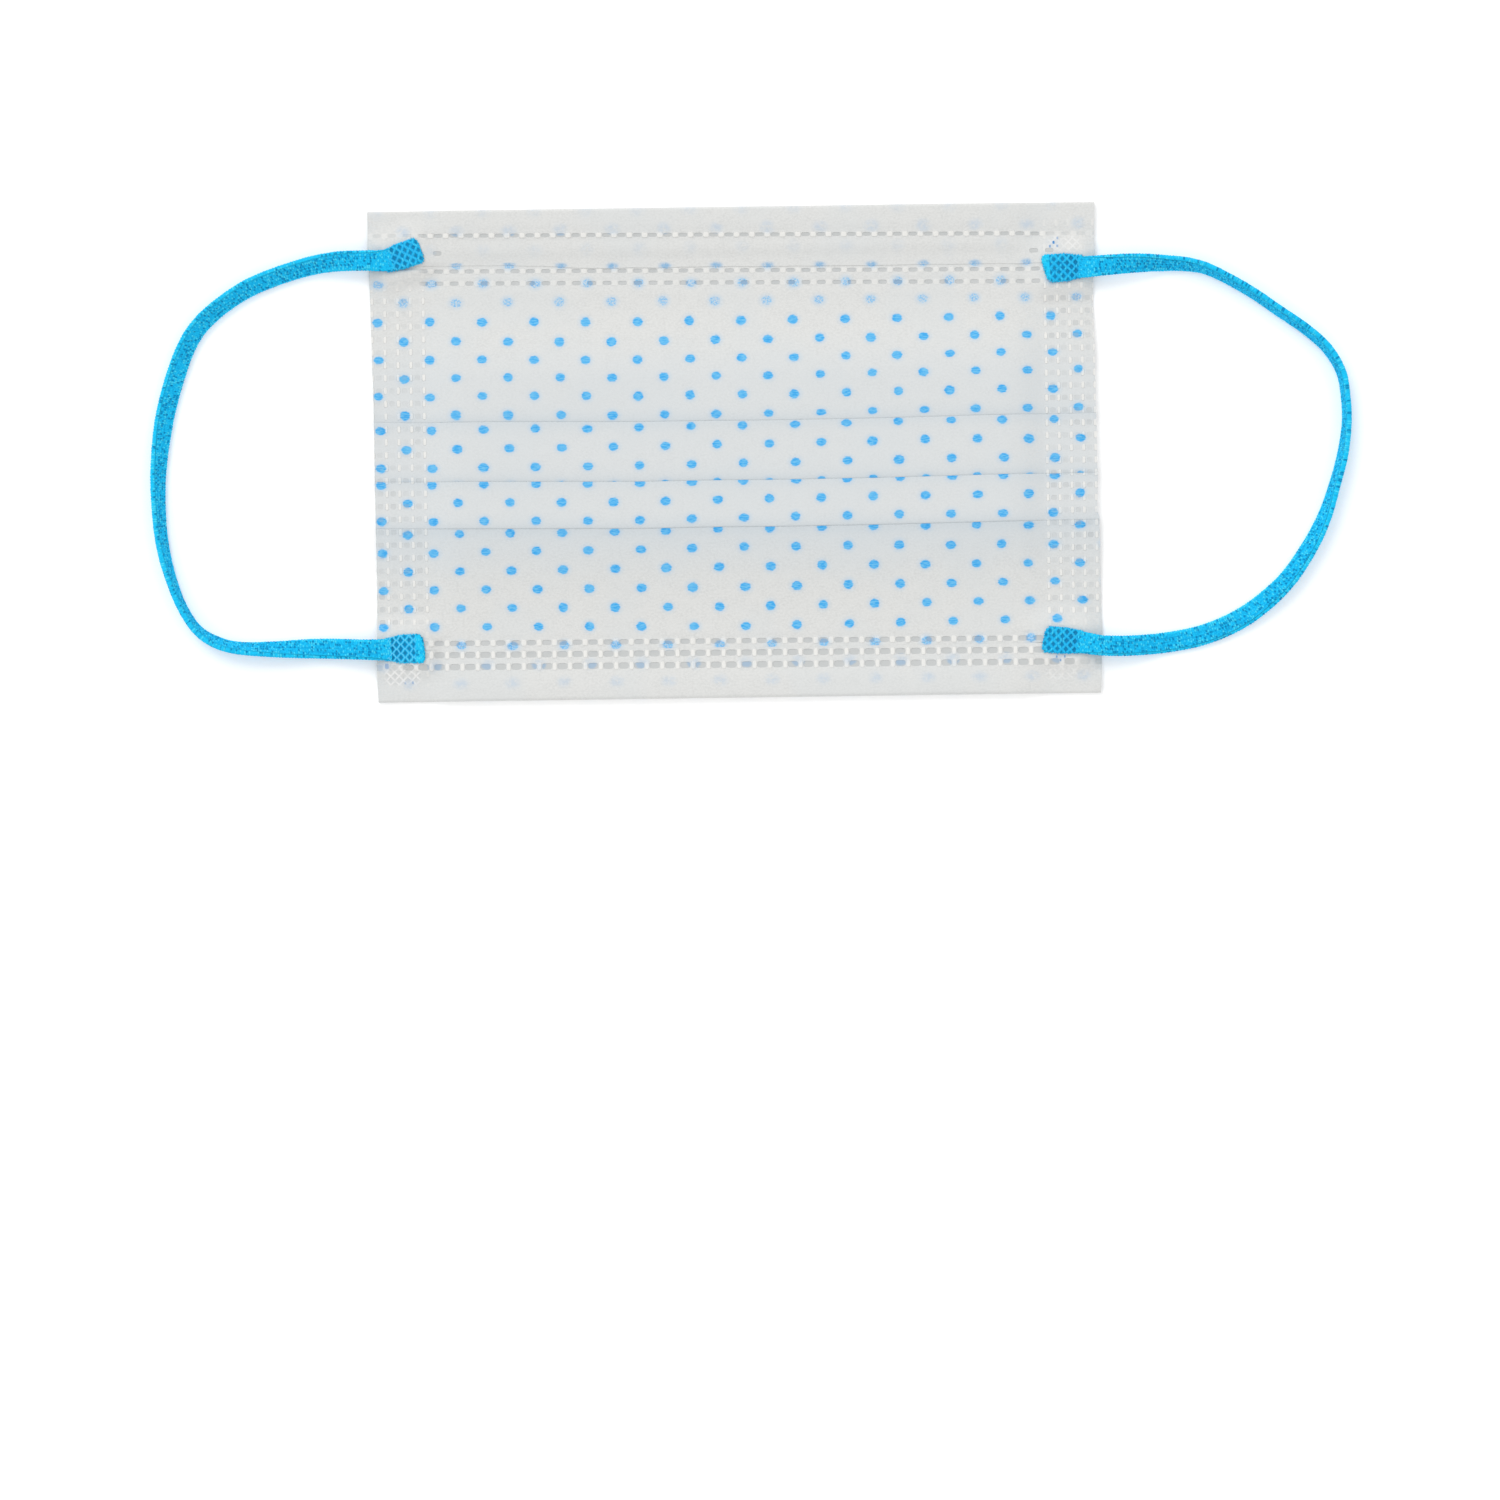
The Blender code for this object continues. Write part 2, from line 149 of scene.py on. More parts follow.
class Wire:
    """One output of a material's nodes. Arithmetic on it adds Math nodes."""

    def __init__(self, tree, socket=None):
        self.tree = tree
        self.socket = socket

    def node(self, kind, settings=None, inputs=None, out=0):
        """Any node: its type, its settings, then the values or wires of its sockets."""
        made = self.tree.nodes.new("ShaderNode" + kind)
        for name, value in (settings or {}).items():
            setattr(made, name, value)
        for name, value in (inputs or {}).items():
            if isinstance(value, Wire):
                self.tree.links.new(value.socket, made.inputs[name])
            else:
                made.inputs[name].default_value = value
        return Wire(self.tree, made.outputs[out])

    def math(self, operation, first, second=0.0):
        return self.node("Math", {"operation": operation}, {0: first, 1: second})

    def __add__(self, other):
        return self.math("ADD", self, other)

    def __sub__(self, other):
        return self.math("SUBTRACT", self, other)

    def __mul__(self, other):
        return self.math("MULTIPLY", self, other)

    def __truediv__(self, other):
        return self.math("DIVIDE", self, other)

    def __mod__(self, other):
        return self.math("FLOORED_MODULO", self, other)

    def __pow__(self, other):
        return self.math("POWER", self, other)

    def __abs__(self):
        return self.math("ABSOLUTE", self)

    def __rsub__(self, other):
        return self.math("SUBTRACT", other, self)

    __radd__ = __add__
    __rmul__ = __mul__

    def least(self, other):
        return self.math("MINIMUM", self, other)

    def most(self, other):
        return self.math("MAXIMUM", self, other)

    def between(self, low, high):
        """0 at low and 1 at high, with a smooth step between. low may be the larger."""
        sockets = {0: self, 1: low, 2: high}
        return self.node("MapRange", {"interpolation_type": "SMOOTHSTEP"}, sockets)

    def colour(self, none, full):
        """This wire as a mask that goes from one colour to another."""
        ends = [c if isinstance(c, Wire) else (*c, 1.0) for c in (none, full)]
        return self.node("Mix", {"data_type": "RGBA"}, {0: self, 6: ends[0], 7: ends[1]}, out=2)

    def parts(self):
        """The three numbers of a vector."""
        split = self.node("SeparateXYZ", None, {0: self})
        return [Wire(self.tree, output) for output in split.socket.node.outputs]

    def joined(self, x, y, z=0.0):
        return self.node("CombineXYZ", None, {0: x, 1: y, 2: z})

    def noise(self, scale, detail=2.0, rough=0.5):
        inputs = {"Vector": self, "Scale": scale, "Detail": detail, "Roughness": rough}
        return self.node("TexNoise", None, inputs)


def new_cloth_material(name, roughness):
    """A material with a plain shader, its Wire to build on and the shader node."""
    material = bpy.data.materials.new(name)
    material.use_nodes = True
    shader = material.node_tree.nodes["Principled BSDF"]
    shader.inputs["Roughness"].default_value = roughness
    shader.inputs["Specular IOR Level"].default_value = 0.25
    return material, Wire(material.node_tree), shader


def attribute(start, name, out="Vector"):
    """A mesh attribute: its vector, or its single number with out="Fac"."""
    return start.node("Attribute", {"attribute_name": name}, None, out)


def finish_shader(shader, start, colour, height, bump_depth, roughness=None):
    """Joins a colour and a height in millimetres to the shader."""
    bump = start.node(
        "Bump", None, {"Strength": 1.0, "Distance": bump_depth * MM, "Height": height}
    )
    for name, wire in (("Base Color", colour), ("Normal", bump), ("Roughness", roughness)):
        if wire is not None:
            start.tree.links.new(wire.socket, shader.inputs[name])


def yarn(place):
    """Cells of one unit, one for each loop of yarn: how far off its middle is, and its numbers."""
    inputs = {"Vector": place, "Scale": 1.0, "Randomness": 0.80}
    away = place.node("TexVoronoi", {"voronoi_dimensions": "2D"}, inputs)
    return away, Wire(place.tree, away.socket.node.outputs["Color"]).parts()


def knit_colours(start, across, along, grain):
    """The knit's colour, with painted shade in its holes and furrows and painted highlights on its
    loops and rolled edges, and its height. grain is 0 for columns of stitches and 1 for none.
    """
    # The cells of the dark specks, painted shade in the holes between the stitches, are 0.62 mm
    # wide and 0.42 mm long, and those of the light specks, painted highlights on the loops, a
    # little more.
    place = start.joined(across / 0.62 + 0.5, along / 0.42 + across * 0.35)
    dark_away, (pick_dark, _, _) = yarn(place)
    light_away, (_, pick_light, _) = yarn(start.joined(across / 0.66, along / 0.44 + 0.37))
    middle = abs(across).between(1.7, 1.1)
    patch = start.joined(across * 0.3, along * 0.13).noise(1.0, 2.0).between(0.38, 0.60)
    chance = 0.33 + (0.02 + 0.12 * patch) * middle - 0.22 * grain
    dark = dark_away.between(0.62, 0.18) * (pick_dark - 1.0 + chance).between(0.0, 0.20)
    light = light_away.between(0.52, 0.20) * pick_light.between(0.50, 0.72)
    fibre = start.joined(across * 1.0 + along * 0.45, along).noise(2.7, 3.0, 0.7)
    base = fibre.between(0.34, 0.66).colour((0.003, 0.375, 0.760), (0.014, 0.600, 0.970))
    # The rolled edges of the elastic are painted lighter: a painted highlight.
    rim = abs(across).between(1.25, 1.80) * (1 - grain * 0.6)
    base = (rim * 0.50).colour(base, (0.014, 0.600, 0.940))
    # Furrows between the columns of stitches are painted darker for a stretch here and there:
    # painted shade.
    furrow_shade = abs(across / 0.84 % 1.0 - 0.5).between(0.28, 0.46) * middle * (1 - grain)
    stretch = start.joined(across * 0.9, along * 0.05).noise(1.0, 2.0).between(0.44, 0.58)
    base = (furrow_shade * stretch * 0.50).colour(base, (0.001, 0.250, 0.580))
    # Light specks: painted highlights on the loops of yarn.
    base = (light * 0.75).colour(base, (0.085, 0.760, 0.970))
    # Dark specks: painted shade in the holes between the stitches.
    base = (dark * 0.85).colour(base, (0.001, 0.200, 0.500))
    height = fibre * 0.7 - dark * 0.7 + light * 0.4
    return base, height


knit, start, shader = new_cloth_material("blue_knitted_elastic", 0.78)
across, along, grain = attribute(start, "knit").parts()
colour, height = knit_colours(start, across, along, grain)
finish_shader(shader, start, colour, height, 0.16)
shader.inputs["Specular IOR Level"].default_value = 0.10


def smooth_between(values, share):
    """A value on the smooth curve through four in a row, between the middle two."""
    before, a, b, after = values
    bend = (b - before) * share + (2 * before - 5 * a + 4 * b - after) * share**2
    return a + (bend + (3 * a - before - 3 * b + after) * share**3) / 2


def loop_line(stops, count):
    """Even points (x, y, z, roll in radians, length so far) from the second stop on."""
    fine = []
    parts = 16
    for four in zip(stops, stops[1:], stops[2:], stops[3:]):
        fine += [[smooth_between(v, i / parts) for v in zip(*four)] for i in range(parts)]
    fine.append(list(stops[-2]))
    reach = [0.0]
    for a, b in zip(fine, fine[1:]):
        reach.append(reach[-1] + math.dist(a[:2], b[:2]))
    line = []
    at = 0
    for i in range(count + 1):
        target = reach[-1] * i / count
        while at < len(reach) - 2 and reach[at + 1] < target:
            at += 1
        share = (target - reach[at]) / (reach[at + 1] - reach[at])
        x, y, roll, down = [p + (q - p) * share for p, q in zip(fine[at], fine[at + 1])]
        roll = math.radians(roll)
        lying = (abs(math.sin(roll)) * STRAP_WIDTH + math.cos(roll) * STRAP_THICK) / 2
        z = REST_GAP + lying + (1 - min(1.0, max(0.0, down))) * ON_HEM
        line.append((x, y, z, roll, target))
    return line


def ease(value, low, high):
    """0 before low and 1 past high, with a smooth step between."""
    share = min(1.0, max(0.0, (value - low) / (high - low)))
    return share * share * (3 - 2 * share)


def ribbon_point(share, half, thin):
    """A point (across, up) on the elastic's section, and its outward direction."""
    flat = half - thin
    straight, bend = 2 * flat, math.pi * thin
    at = share * 2 * (straight + bend)
    face = 1 if at < straight + bend else -1
    at %= straight + bend
    if at < straight:
        return (flat - at) * face, thin * face, 0.0, face
    turn = (at - straight) / thin + math.pi / 2
    out, up = math.cos(turn) * face, math.sin(turn) * face
    return -flat * face + thin * out, thin * up, out, up


def new_piece(name, bm, material):
    """Stores a mesh worked out in millimetres as an object in metres that rides on the part."""
    bmesh.ops.scale(bm, vec=(MM, MM, MM), verts=bm.verts)
    mesh = bpy.data.meshes.new(name)
    bm.to_mesh(mesh)
    bm.free()
    mesh.shade_smooth()
    mesh.materials.append(material)
    piece = placed(name, mesh)
    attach(piece, "root")
    return piece


def ear_loop(name, node, side, stops):
    """One loop: a tube of rings along its line, each ring the elastic's section at that place."""
    line = loop_line(stops, STRAP_RINGS)
    length = line[-1][4]
    bm = bmesh.new()
    bmesh.ops.create_cone(
        bm, cap_ends=True, segments=STRAP_AROUND, radius1=1.0, radius2=1.0, depth=1.0
    )
    lengthwise = [e for e in bm.edges if abs(e.verts[0].co.z - e.verts[1].co.z) > 0.5]
    bmesh.ops.subdivide_edges(bm, edges=lengthwise, cuts=STRAP_RINGS - 1)
    knit_layer = bm.verts.layers.float_vector.new("knit")
    frames = []
    for i, (x, y, z, roll, at) in enumerate(line):
        before, after = line[max(0, i - 1)], line[min(STRAP_RINGS, i + 1)]
        ahead = (Vector(after[:3]) - Vector(before[:3])).normalized()
        outer = ahead.cross(Vector((0, 0, 1))).normalized() * -side
        up = outer.cross(ahead).normalized()
        if up.z < 0:
            up = -up
        wide = outer * math.cos(roll) + up * math.sin(roll)
        face = up * math.cos(roll) - outer * math.sin(roll)
        frames.append((Vector((x, y, z)), wide, face, at))
    for vertex in bm.verts:
        ring = round((vertex.co.z + 0.5) * STRAP_RINGS)
        share = (math.atan2(vertex.co.y, vertex.co.x) / math.tau) % 1.0
        middle, wide, face, at = frames[ring]
        near_end = min(at, length - at)
        press = 1 - ease(near_end, 0.0, PRESS_LONG)
        half = STRAP_WIDTH / 2 + 0.22 * press
        thin = STRAP_THICK / 2 - 0.26 * press - 0.04
        a, t, out_a, out_t = ribbon_point(share, half, thin)
        wale = a / WALE
        odd = math.floor(wale) % 2
        rib = 0.035 * math.cos(math.tau * wale)
        stitch = 0.030 * math.cos(math.tau * (at / STITCH + 0.5 * odd)) * (1 - press * 0.6)
        rough = 0.05 * noise.noise(Vector((a * 1.6, at * 1.6, t * 2 + side * 9)))
        edge = 0.05 * abs(out_a) * math.cos(math.tau * at / 0.62 + 2 * side)
        grow = rib + stitch + rough + edge
        a += out_a * grow
        t += out_t * grow
        # The back's knit is 40 mm further along, so that it doesn't mirror the front's.
        vertex[knit_layer] = (a * side, at + (0 if share < 0.5 else 40), press)
        vertex.co = middle + wide * a + face * t - Vector((0, 0, PRESS_SINK * press))
    bmesh.ops.recalc_face_normals(bm, faces=bm.faces)
    piece = new_piece(name, bm, knit)
    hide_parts(node)
    path = [[v * MM for v in point[:3]] for point in line[:: STRAP_RINGS // PATH_PARTS]]


ear_loop("left_ear_elastic", "ear_loop_left", -1, LOOP_STOPS["left"])
ear_loop("right_ear_elastic", "ear_loop_right", 1, LOOP_STOPS["right"])

# The printed ply: thin white nonwoven polypropylene, the outermost cloth, printed with small sky
# blue dots in staggered rows. Three knife pleats are pressed into it. It is welded to the plies
# beneath by rows of short dashes near its long edges and a grid of dots down each side.
PANEL_X = 72.5
PLY_THICK = 0.20
# The step between a section's points where the cloth shows and where a fold hides it
OPEN_STEP, HIDDEN_STEP = 0.45, 1.6
# (y of the inner fold's middle, y of the outer fold's middle) of each pleat, from the nose edge
PLEATS = [(14.434, 7.548), (4.086, -4.371), (-7.833, -13.75)]
# Where the cloth starts to rise to the first pleat
RISE_FOOT = 31.26
# Where the side seams start, how wide the slope down to them is and how much height they leave
SEAM_IN, SEAM_EASE, SEAM_PRESS = 62.0, 6.0, 0.50
# How far the plies' long edges are from the middle, and where the hems' flaps end
PRINTED_EDGE, INNER_EDGE = 47.4, 46.2
NOSE_FLAP_EDGE, CHIN_FLAP_EDGE = 37.35, -38.95
# How far each fold's front edge droops, and the gap in front of it
DROOP = (0.07, 0.14, 0.15)
CREASE = (0.02, 0.05, 0.012)
# How far the side edges stand out past PANEL_X, as (y, shift), for the left and the right
EDGE_STOPS = {
    -1: [(-50, -0.25), (-43, -0.05), (-34, -0.20), (-25, -0.30), (-15, -0.24), (-5, -0.15),
         (5, -0.15), (14, -0.05), (21, 0.10), (28, 0.30), (35, 0.46), (44, 0.66), (50, 0.68)],
    1: [(-50, 0.00), (-45, 0.20), (-36, 0.35), (-30, 0.28), (-20, 0.20), (-14.3, 0.10),
        (-13.2, -0.32), (-8, -0.15), (0, -0.18), (10, -0.30), (20, -0.38), (28, -0.47),
        (33, -0.45), (42, -0.10), (50, 0.00)],
}
# The print: rows of dots this far apart, with every other row moved half a pitch along.
DOT_ROW, DOT_PITCH, DOT_START = 3.78, 10.38, -50.42
# How much higher than that the dots lie, where the cloth is stretched: a height y, then the
# amounts at x = -60, -30, 0, 30 and 60
DRIFT = [
    (38.0, (0.10, -0.25, -0.48, -0.67, -0.75)), (33.0, (0.10, -0.25, -0.48, -0.67, -0.75)),
    (30.4, (0.00, -0.10, -0.25, -0.30, -0.40)), (27.0, (0.00, -0.55, -0.57, -0.50, -0.42)),
    (21.5, (-0.35, -0.86, -0.62, -0.62, -0.48)), (14.0, (-0.35, -0.34, -0.14, -0.12, -0.24)),
    (8.3, (-0.08, -0.30, -0.38, -0.30, -0.36)), (5.2, (-0.55, -0.18, 0.14, 0.56, 0.10)),
    (-6.0, (-0.46, -0.18, 0.06, 0.24, 0.02)), (-13.5, (-0.10, -0.12, 0.24, 0.32, -0.08)),
    (-15.5, (-0.30, 0.30, 0.60, 0.76, 0.05)), (-20.0, (-0.10, 0.42, 0.64, 0.54, 0.03)),
    (-27.0, (0.20, 0.15, 0.10, 0.25, 0.35)), (-34.5, (0.28, -0.02, -0.39, -0.12, 0.32)),
    (-39.0, (0.20, 0.00, -0.20, -0.10, 0.20)),
]
# Welded dash rows: height at the middle, slope, first dash, pitch, half width, half height, and
# how much the raised bars between the dashes stand out, in height and in their painted highlight
NOSE_ROWS = [(43.64, -0.0095, -62.05, 3.065, 0.84, 0.32, 0.85)]
PANEL_ROWS = [
    (36.55, -0.0095, -62.05, 3.065, 0.87, 0.34, 0.50),
    (34.12, -0.0095, -62.05, 3.065, 0.84, 0.36, 0.35),
    (-37.67, -0.0045, -59.90, 3.0775, 0.90, 0.46, 0.75),
]
CHIN_ROWS = [
    (-40.03, -0.0045, -59.90, 3.0775, 1.00, 0.55, 0.85),
    (-42.44, -0.0045, -59.90, 3.0775, 1.00, 0.57, 0.75),
]
WELD_ROWS = NOSE_ROWS + PANEL_ROWS + CHIN_ROWS
# The side grids: first column's x, step to the next one, first row's y and step
SIDE_GRIDS = [(-63.5, -2.57, 10.7, 2.575), (63.6, 2.42, 30.1, 2.50)]
# Single welds that stop the ends of the nose channel
CHANNEL_STOPS = [(-59.2, 40.7), (60.2, 39.65), (63.3, 39.6)]
# Each pad's middle, turn in degrees and side
PADS = {
    "left_upper": (-66.1, 40.25, 18, -1),
    "left_lower": (-66.7, -38.4, 1, -1),
    "right_upper": (66.05, 36.05, 3, 1),
    "right_lower": (64.9, -38.54, -5, 1),
}
# The pads' tool presses diamonds this far apart along and across a pad. Beside three of the pads
# it has pressed bare cloth too: (x, y, half width, half height, how clearly)
PIT_ACROSS, PIT_DOWN = 1.70, 0.86
HATCHES = [
    (-67.2, -43.2, 3.6, 2.5, 1.0), (66.2, 40.8, 3.2, 1.7, 0.5), (64.7, -44.0, 3.4, 2.3, 0.4),
]
# Specks of blue that the tool has left there: (x, y, size, how dark)
SPECKS = [
    (-70.4, -41.8, 1.7, 0.55), (-66.8, -45.2, 0.9, 0.35), (-65.3, -45.15, 0.9, 0.45),
    (64.2, 41.2, 1.0, 1.0), (65.0, 42.1, 0.9, 0.5), (63.45, 40.4, 0.9, 0.7),
    (64.9, 40.45, 0.9, 0.6), (63.65, -41.75, 0.8, 0.7), (64.4, -42.45, 0.8, 0.7),
    (65.25, -41.7, 0.8, 0.7),
]


def arc(centre, radius, start, stop, steps):
    """Points on an arc in the pleats' section, angles in degrees from +Y towards +Z."""
    angles = [math.radians(start + (stop - start) * i / steps) for i in range(steps + 1)]
    return [(centre[0] + radius * math.cos(a), centre[1] + radius * math.sin(a)) for a in angles]


def stations(start, stop, step, rows=()):
    """Values from start to stop, a step apart, or a fine step near a welded row."""
    fine, reach = 0.21, 0.80
    sign = 1 if stop > start else -1
    values = [start]
    while (stop - values[-1]) * sign > step * 0.6:
        at = values[-1]
        near = any(abs(at + sign * fine - row[0]) < reach for row in rows)
        values.append(at + sign * (fine if near else step))
    values[-1] = stop
    return values


def rounded_box(dx, dy, half_x, half_y, corner):
    """The signed distance to a rectangle with rounded corners."""
    qx, qy = abs(dx) - half_x + corner, abs(dy) - half_y + corner
    return math.hypot(max(qx, 0), max(qy, 0)) + min(max(qx, qy), 0) - corner


def weld_relief(x, y, rows):
    """How far the welds press a place down (below 0) or puff it up (above 0)."""
    relief = 0.0
    for middle, slope, first, pitch, half_x, half_y, bars in rows:
        dy = y - middle - slope * x
        if abs(dy) > 2.0 or abs(x) > 63.0:
            continue
        step = (x - first) / pitch
        dx = (step - round(step)) * pitch
        flat = ease(-rounded_box(dx, dy, half_x, half_y, 0.2), -0.12, 0.10)
        gap = pitch / 2 - abs(dx)
        bar = rounded_box(gap, dy, pitch / 2 - half_x - 0.14, half_y + 0.16, 0.25)
        relief += 0.14 * bars * ease(-bar, -0.22, 0.10) - 0.05 * flat
    if abs(x) > SEAM_IN - 1.5 and abs(y) < 33.3:
        first_x, step_x, first_y, step_y = SIDE_GRIDS[0 if x < 0 else 1]
        column = (x - first_x) / step_x + 0.5
        row = (y - first_y) / step_y
        bar_dx = (column - round(column)) * abs(step_x)
        bar_dy = (row - round(row)) * step_y
        relief += 0.10 * ease(-rounded_box(bar_dx, bar_dy, 0.24, 0.50, 0.18), -0.30, 0.12)
    return relief


def pad_mound(x, y):
    """1 where a pad lies on the cloth, falling to 0 round it."""
    mound = 0.0
    for pad_x, pad_y, tilt, _ in PADS.values():
        dx, dy = x - pad_x, y - pad_y
        turn = math.radians(tilt)
        along_pad = dx * math.cos(turn) + dy * math.sin(turn)
        across_pad = dy * math.cos(turn) - dx * math.sin(turn)
        box = rounded_box(along_pad, across_pad, 3.9, 2.9, 1.0)
        mound = max(mound, 1 - ease(box, 0.0, 4.6))
    return mound


def seam_press(x):
    """How much of its height a place keeps where the side seams are pressed flat."""
    return 1 - (1 - SEAM_PRESS) * ease(abs(x), SEAM_IN - SEAM_EASE, SEAM_IN + 0.6)


def lift(x, y, z):
    """The slow waves of cloth that has been folded in a pack. They die out near the table."""
    slow = noise.noise(Vector((x / 26, y / 17, 3.1)))
    quick = noise.noise(Vector((x / 8.5, y / 6.5, 8.7)))
    return (0.20 * slow + 0.07 * quick) * min(1.0, max(0.0, (z - 0.2) / 1.2))


def edge_shift(x, y):
    """How far a place moves out, so that the side edges wander as they do in the photo."""
    side = 1 if x > 0 else -1
    stops = EDGE_STOPS[side]
    steps = [(b - a) * ease(y, low, high) for (low, a), (high, b) in zip(stops, stops[1:])]
    shift = stops[0][1] + sum(steps)
    shift += 0.05 * noise.noise(Vector((y / 3.0, 4.2 * side, 0.5)))
    return side * shift * (abs(x) / PANEL_X) ** 6


def columns_for(step_side, step_middle):
    """x stations: close together in the side seams and wide apart between them."""
    inner = SEAM_IN - 0.6
    count = round((PANEL_X - inner) / step_side)
    side = [inner + (PANEL_X - inner) * i / count for i in range(count + 1)]
    middle_count = round(2 * inner / step_middle)
    middle = [-inner + 2 * inner * i / middle_count for i in range(1, middle_count)]
    return [-x for x in reversed(side)] + middle + side


def cloth(name, columns, section, place, rows, material):
    """A sheet over x columns and section rows (y, z, print row), cut finer near the welded rows.
    place gives each vertex's spot, its ink, its shade and how much higher the dots lie there."""
    bm = bmesh.new()
    bmesh.ops.create_grid(
        bm, x_segments=len(columns) - 1, y_segments=len(section) - 1, size=0.5
    )
    for vertex in bm.verts:
        column = round((vertex.co.x + 0.5) * (len(columns) - 1))
        row = round((vertex.co.y + 0.5) * (len(section) - 1))
        vertex.co = (columns[column], row, 0)
    fine = {
        i for i, (y, z, _) in enumerate(section) if any(abs(y - r[0]) < 1.35 for r in rows(z))
    }
    split = []
    for edge in bm.edges:
        a, b = (v.co for v in edge.verts)
        if abs(a.y - b.y) < 0.5 and round(a.y) in fine and abs(a.x - b.x) > 1.0:
            split.append(edge)
    bmesh.ops.subdivide_edges(bm, edges=split, cuts=6, use_grid_fill=True)
    print_layer = bm.verts.layers.float_vector.new("print")
    shade_layer = bm.verts.layers.float.new("shade")
    for vertex in bm.verts:
        x, (y, z, w) = vertex.co.x, section[round(vertex.co.y)]
        vertex.co, ink, vertex[shade_layer], higher = place(x, y, z)
        vertex[print_layer] = (x + sway(x, y), w - higher, ink)
    bmesh.ops.recalc_face_normals(bm, faces=bm.faces)
    # The cut edges stay sharp, or their shading would darken the cloth beside them.
    for edge in bm.edges:
        edge.smooth = not edge.is_boundary
    piece = new_piece(name, bm, material)
    wall = piece.modifiers.new("ply", "SOLIDIFY")
    wall.thickness = PLY_THICK * MM
    wall.offset = 0
    return piece


def filled_print(points):
    """(y, z, print row) from (y, z, print row or None), with the gaps filled in by length."""
    reach = [0.0]
    for a, b in zip(points, points[1:]):
        reach.append(reach[-1] + math.dist(a[:2], b[:2]))
    known = [i for i, point in enumerate(points) if point[2] is not None]
    done = []
    for i, (y, z, w) in enumerate(points):
        if w is None:
            before = max((k for k in known if k < i), default=known[0])
            after = min((k for k in known if k > i), default=known[-1])
            span = reach[after] - reach[before]
            share = (reach[i] - reach[before]) / span if span else 0
            w = points[before][2] + (points[after][2] - points[before][2]) * share
        done.append((y, z, w))
    return done


# The print's row number times its pitch, at a height y in each of the four bands between folds
BAND_PRINT = [
    lambda y: y - 4.35,
    lambda y: y - 20.52,
    lambda y: y - 39.76,
    lambda y: (y + 15.7) * 1.0107 - 71.82,
]


def add(points, places, band=None):
    """Adds places (y, z) to a section, with their print row if they show in a band."""
    points += [(y, z, None if band is None else BAND_PRINT[band](y)) for y, z in places]


def level(start, stop, z, step, rows=()):
    """Places (y, z) at one height, from the one after start to stop."""
    return [(y, z) for y in stations(start, stop, step, rows)[1:]]


def nose_band(start, low, high, rows):
    """The first band's points, which rise from low at the nose edge to high at the pleats."""
    first = PLEATS[0][0]
    points = []
    for y in stations(start, first, OPEN_STEP, rows):
        rise = min(1.0, max(0.0, (RISE_FOOT - y) / (RISE_FOOT - first)))
        add(points, [(y, low + (high - low) * (1 - math.cos(math.pi * rise)) / 2)], 0)
    return points


def printed_section():
    """The printed ply's middle line as (y, z, print row), from the nose edge to the chin edge."""
    low, high = 0.86, 3.26
    points = nose_band(PRINTED_EDGE, low, high, PANEL_ROWS)
    for band, (inner, outer) in enumerate(PLEATS):
        lip = high - DROOP[band]
        foot = lip - 0.05
        add(points, level(inner, outer, high, OPEN_STEP), band)
        front = [(-0.35, 0.12), (-0.66, 0.38), (-0.86, 0.66), (-0.96, 1.0)]
        add(points, [(outer + dy, high - DROOP[band] * share) for dy, share in front], band)
        under = [(-0.92, lip - 0.20), (-0.66, 2.30), (-0.42, 1.90), (-0.22, 1.58), (0.0, 1.38)]
        add(points, [(outer + dy, z) for dy, z in under])
        add(points, [(y, 1.34) for y in stations(outer + 0.4, inner, HIDDEN_STEP)])
        add(points, arc((inner, 1.1), 0.24, 45, -90, 3))
        add(points, level(inner, outer, low, HIDDEN_STEP))
        back = [(-0.55, 1.05), (-0.80, 1.55), (-0.88, 2.05), (-0.93, lip - 0.30)]
        add(points, [(outer + dy, z) for dy, z in back])
        add(points, [(outer - 0.96 - CREASE[band], foot)], band + 1)
        if band < 2:
            rise = [(-1.35, 0.42), (-1.85, 0.70), (-2.45, 0.90), (-3.10, 1.0)]
            places = [(outer + dy, foot + (high - foot) * share) for dy, share in rise]
            add(points, places + [(PLEATS[band + 1][0], high)], band + 1)
    last = PLEATS[-1][1] - 1.02
    for y in stations(last - 0.3, -PRINTED_EDGE, OPEN_STEP, PANEL_ROWS):
        add(points, [(y, low + (foot - low) * (1 - ease(last - y, -3.0, 21.0)))], 3)
    return filled_print(points)


def fold_wander(x, y):
    """How far the pleats bow and wander along the mask. It dies out past the pleats."""
    bow = 0.45 * (x / 61) ** 2 - 0.15 + 0.16 * noise.noise(Vector((x / 21, y / 30, 6.6)))
    return bow * (1 - ease(abs(y), 17.0, 25.0))


def drift(x, y):
    """How much higher the dots lie at a place than in even rows."""
    if y > DRIFT[0][0]:
        return 0.0
    column = min(3.999, max(0.0, (x + 60) / 30))
    at, share = int(column), column % 1.0
    for (high, above), (low, below) in zip(DRIFT, DRIFT[1:]):
        if y >= low or low == DRIFT[-1][0]:
            down = min(1.0, (high - y) / (high - low))
            left, right = (a + (b - a) * down for a, b in zip(above[at:at + 2], below[at:at + 2]))
            return left + (right - left) * share


def sway(x, y):
    """How much further left the dots lie at a place than in even columns."""
    right = 0.60 * math.exp(-(((y + 21) / 8) ** 2)) - 0.27 * math.exp(-(((y + 2) / 7) ** 2))
    left = 0.28 * math.exp(-(((y - 12) / 6) ** 2))
    return right * ease(x, 20, 62) + left * ease(-x, 40, 62) - 0.35 * ease(y, 31.5, 33.5)


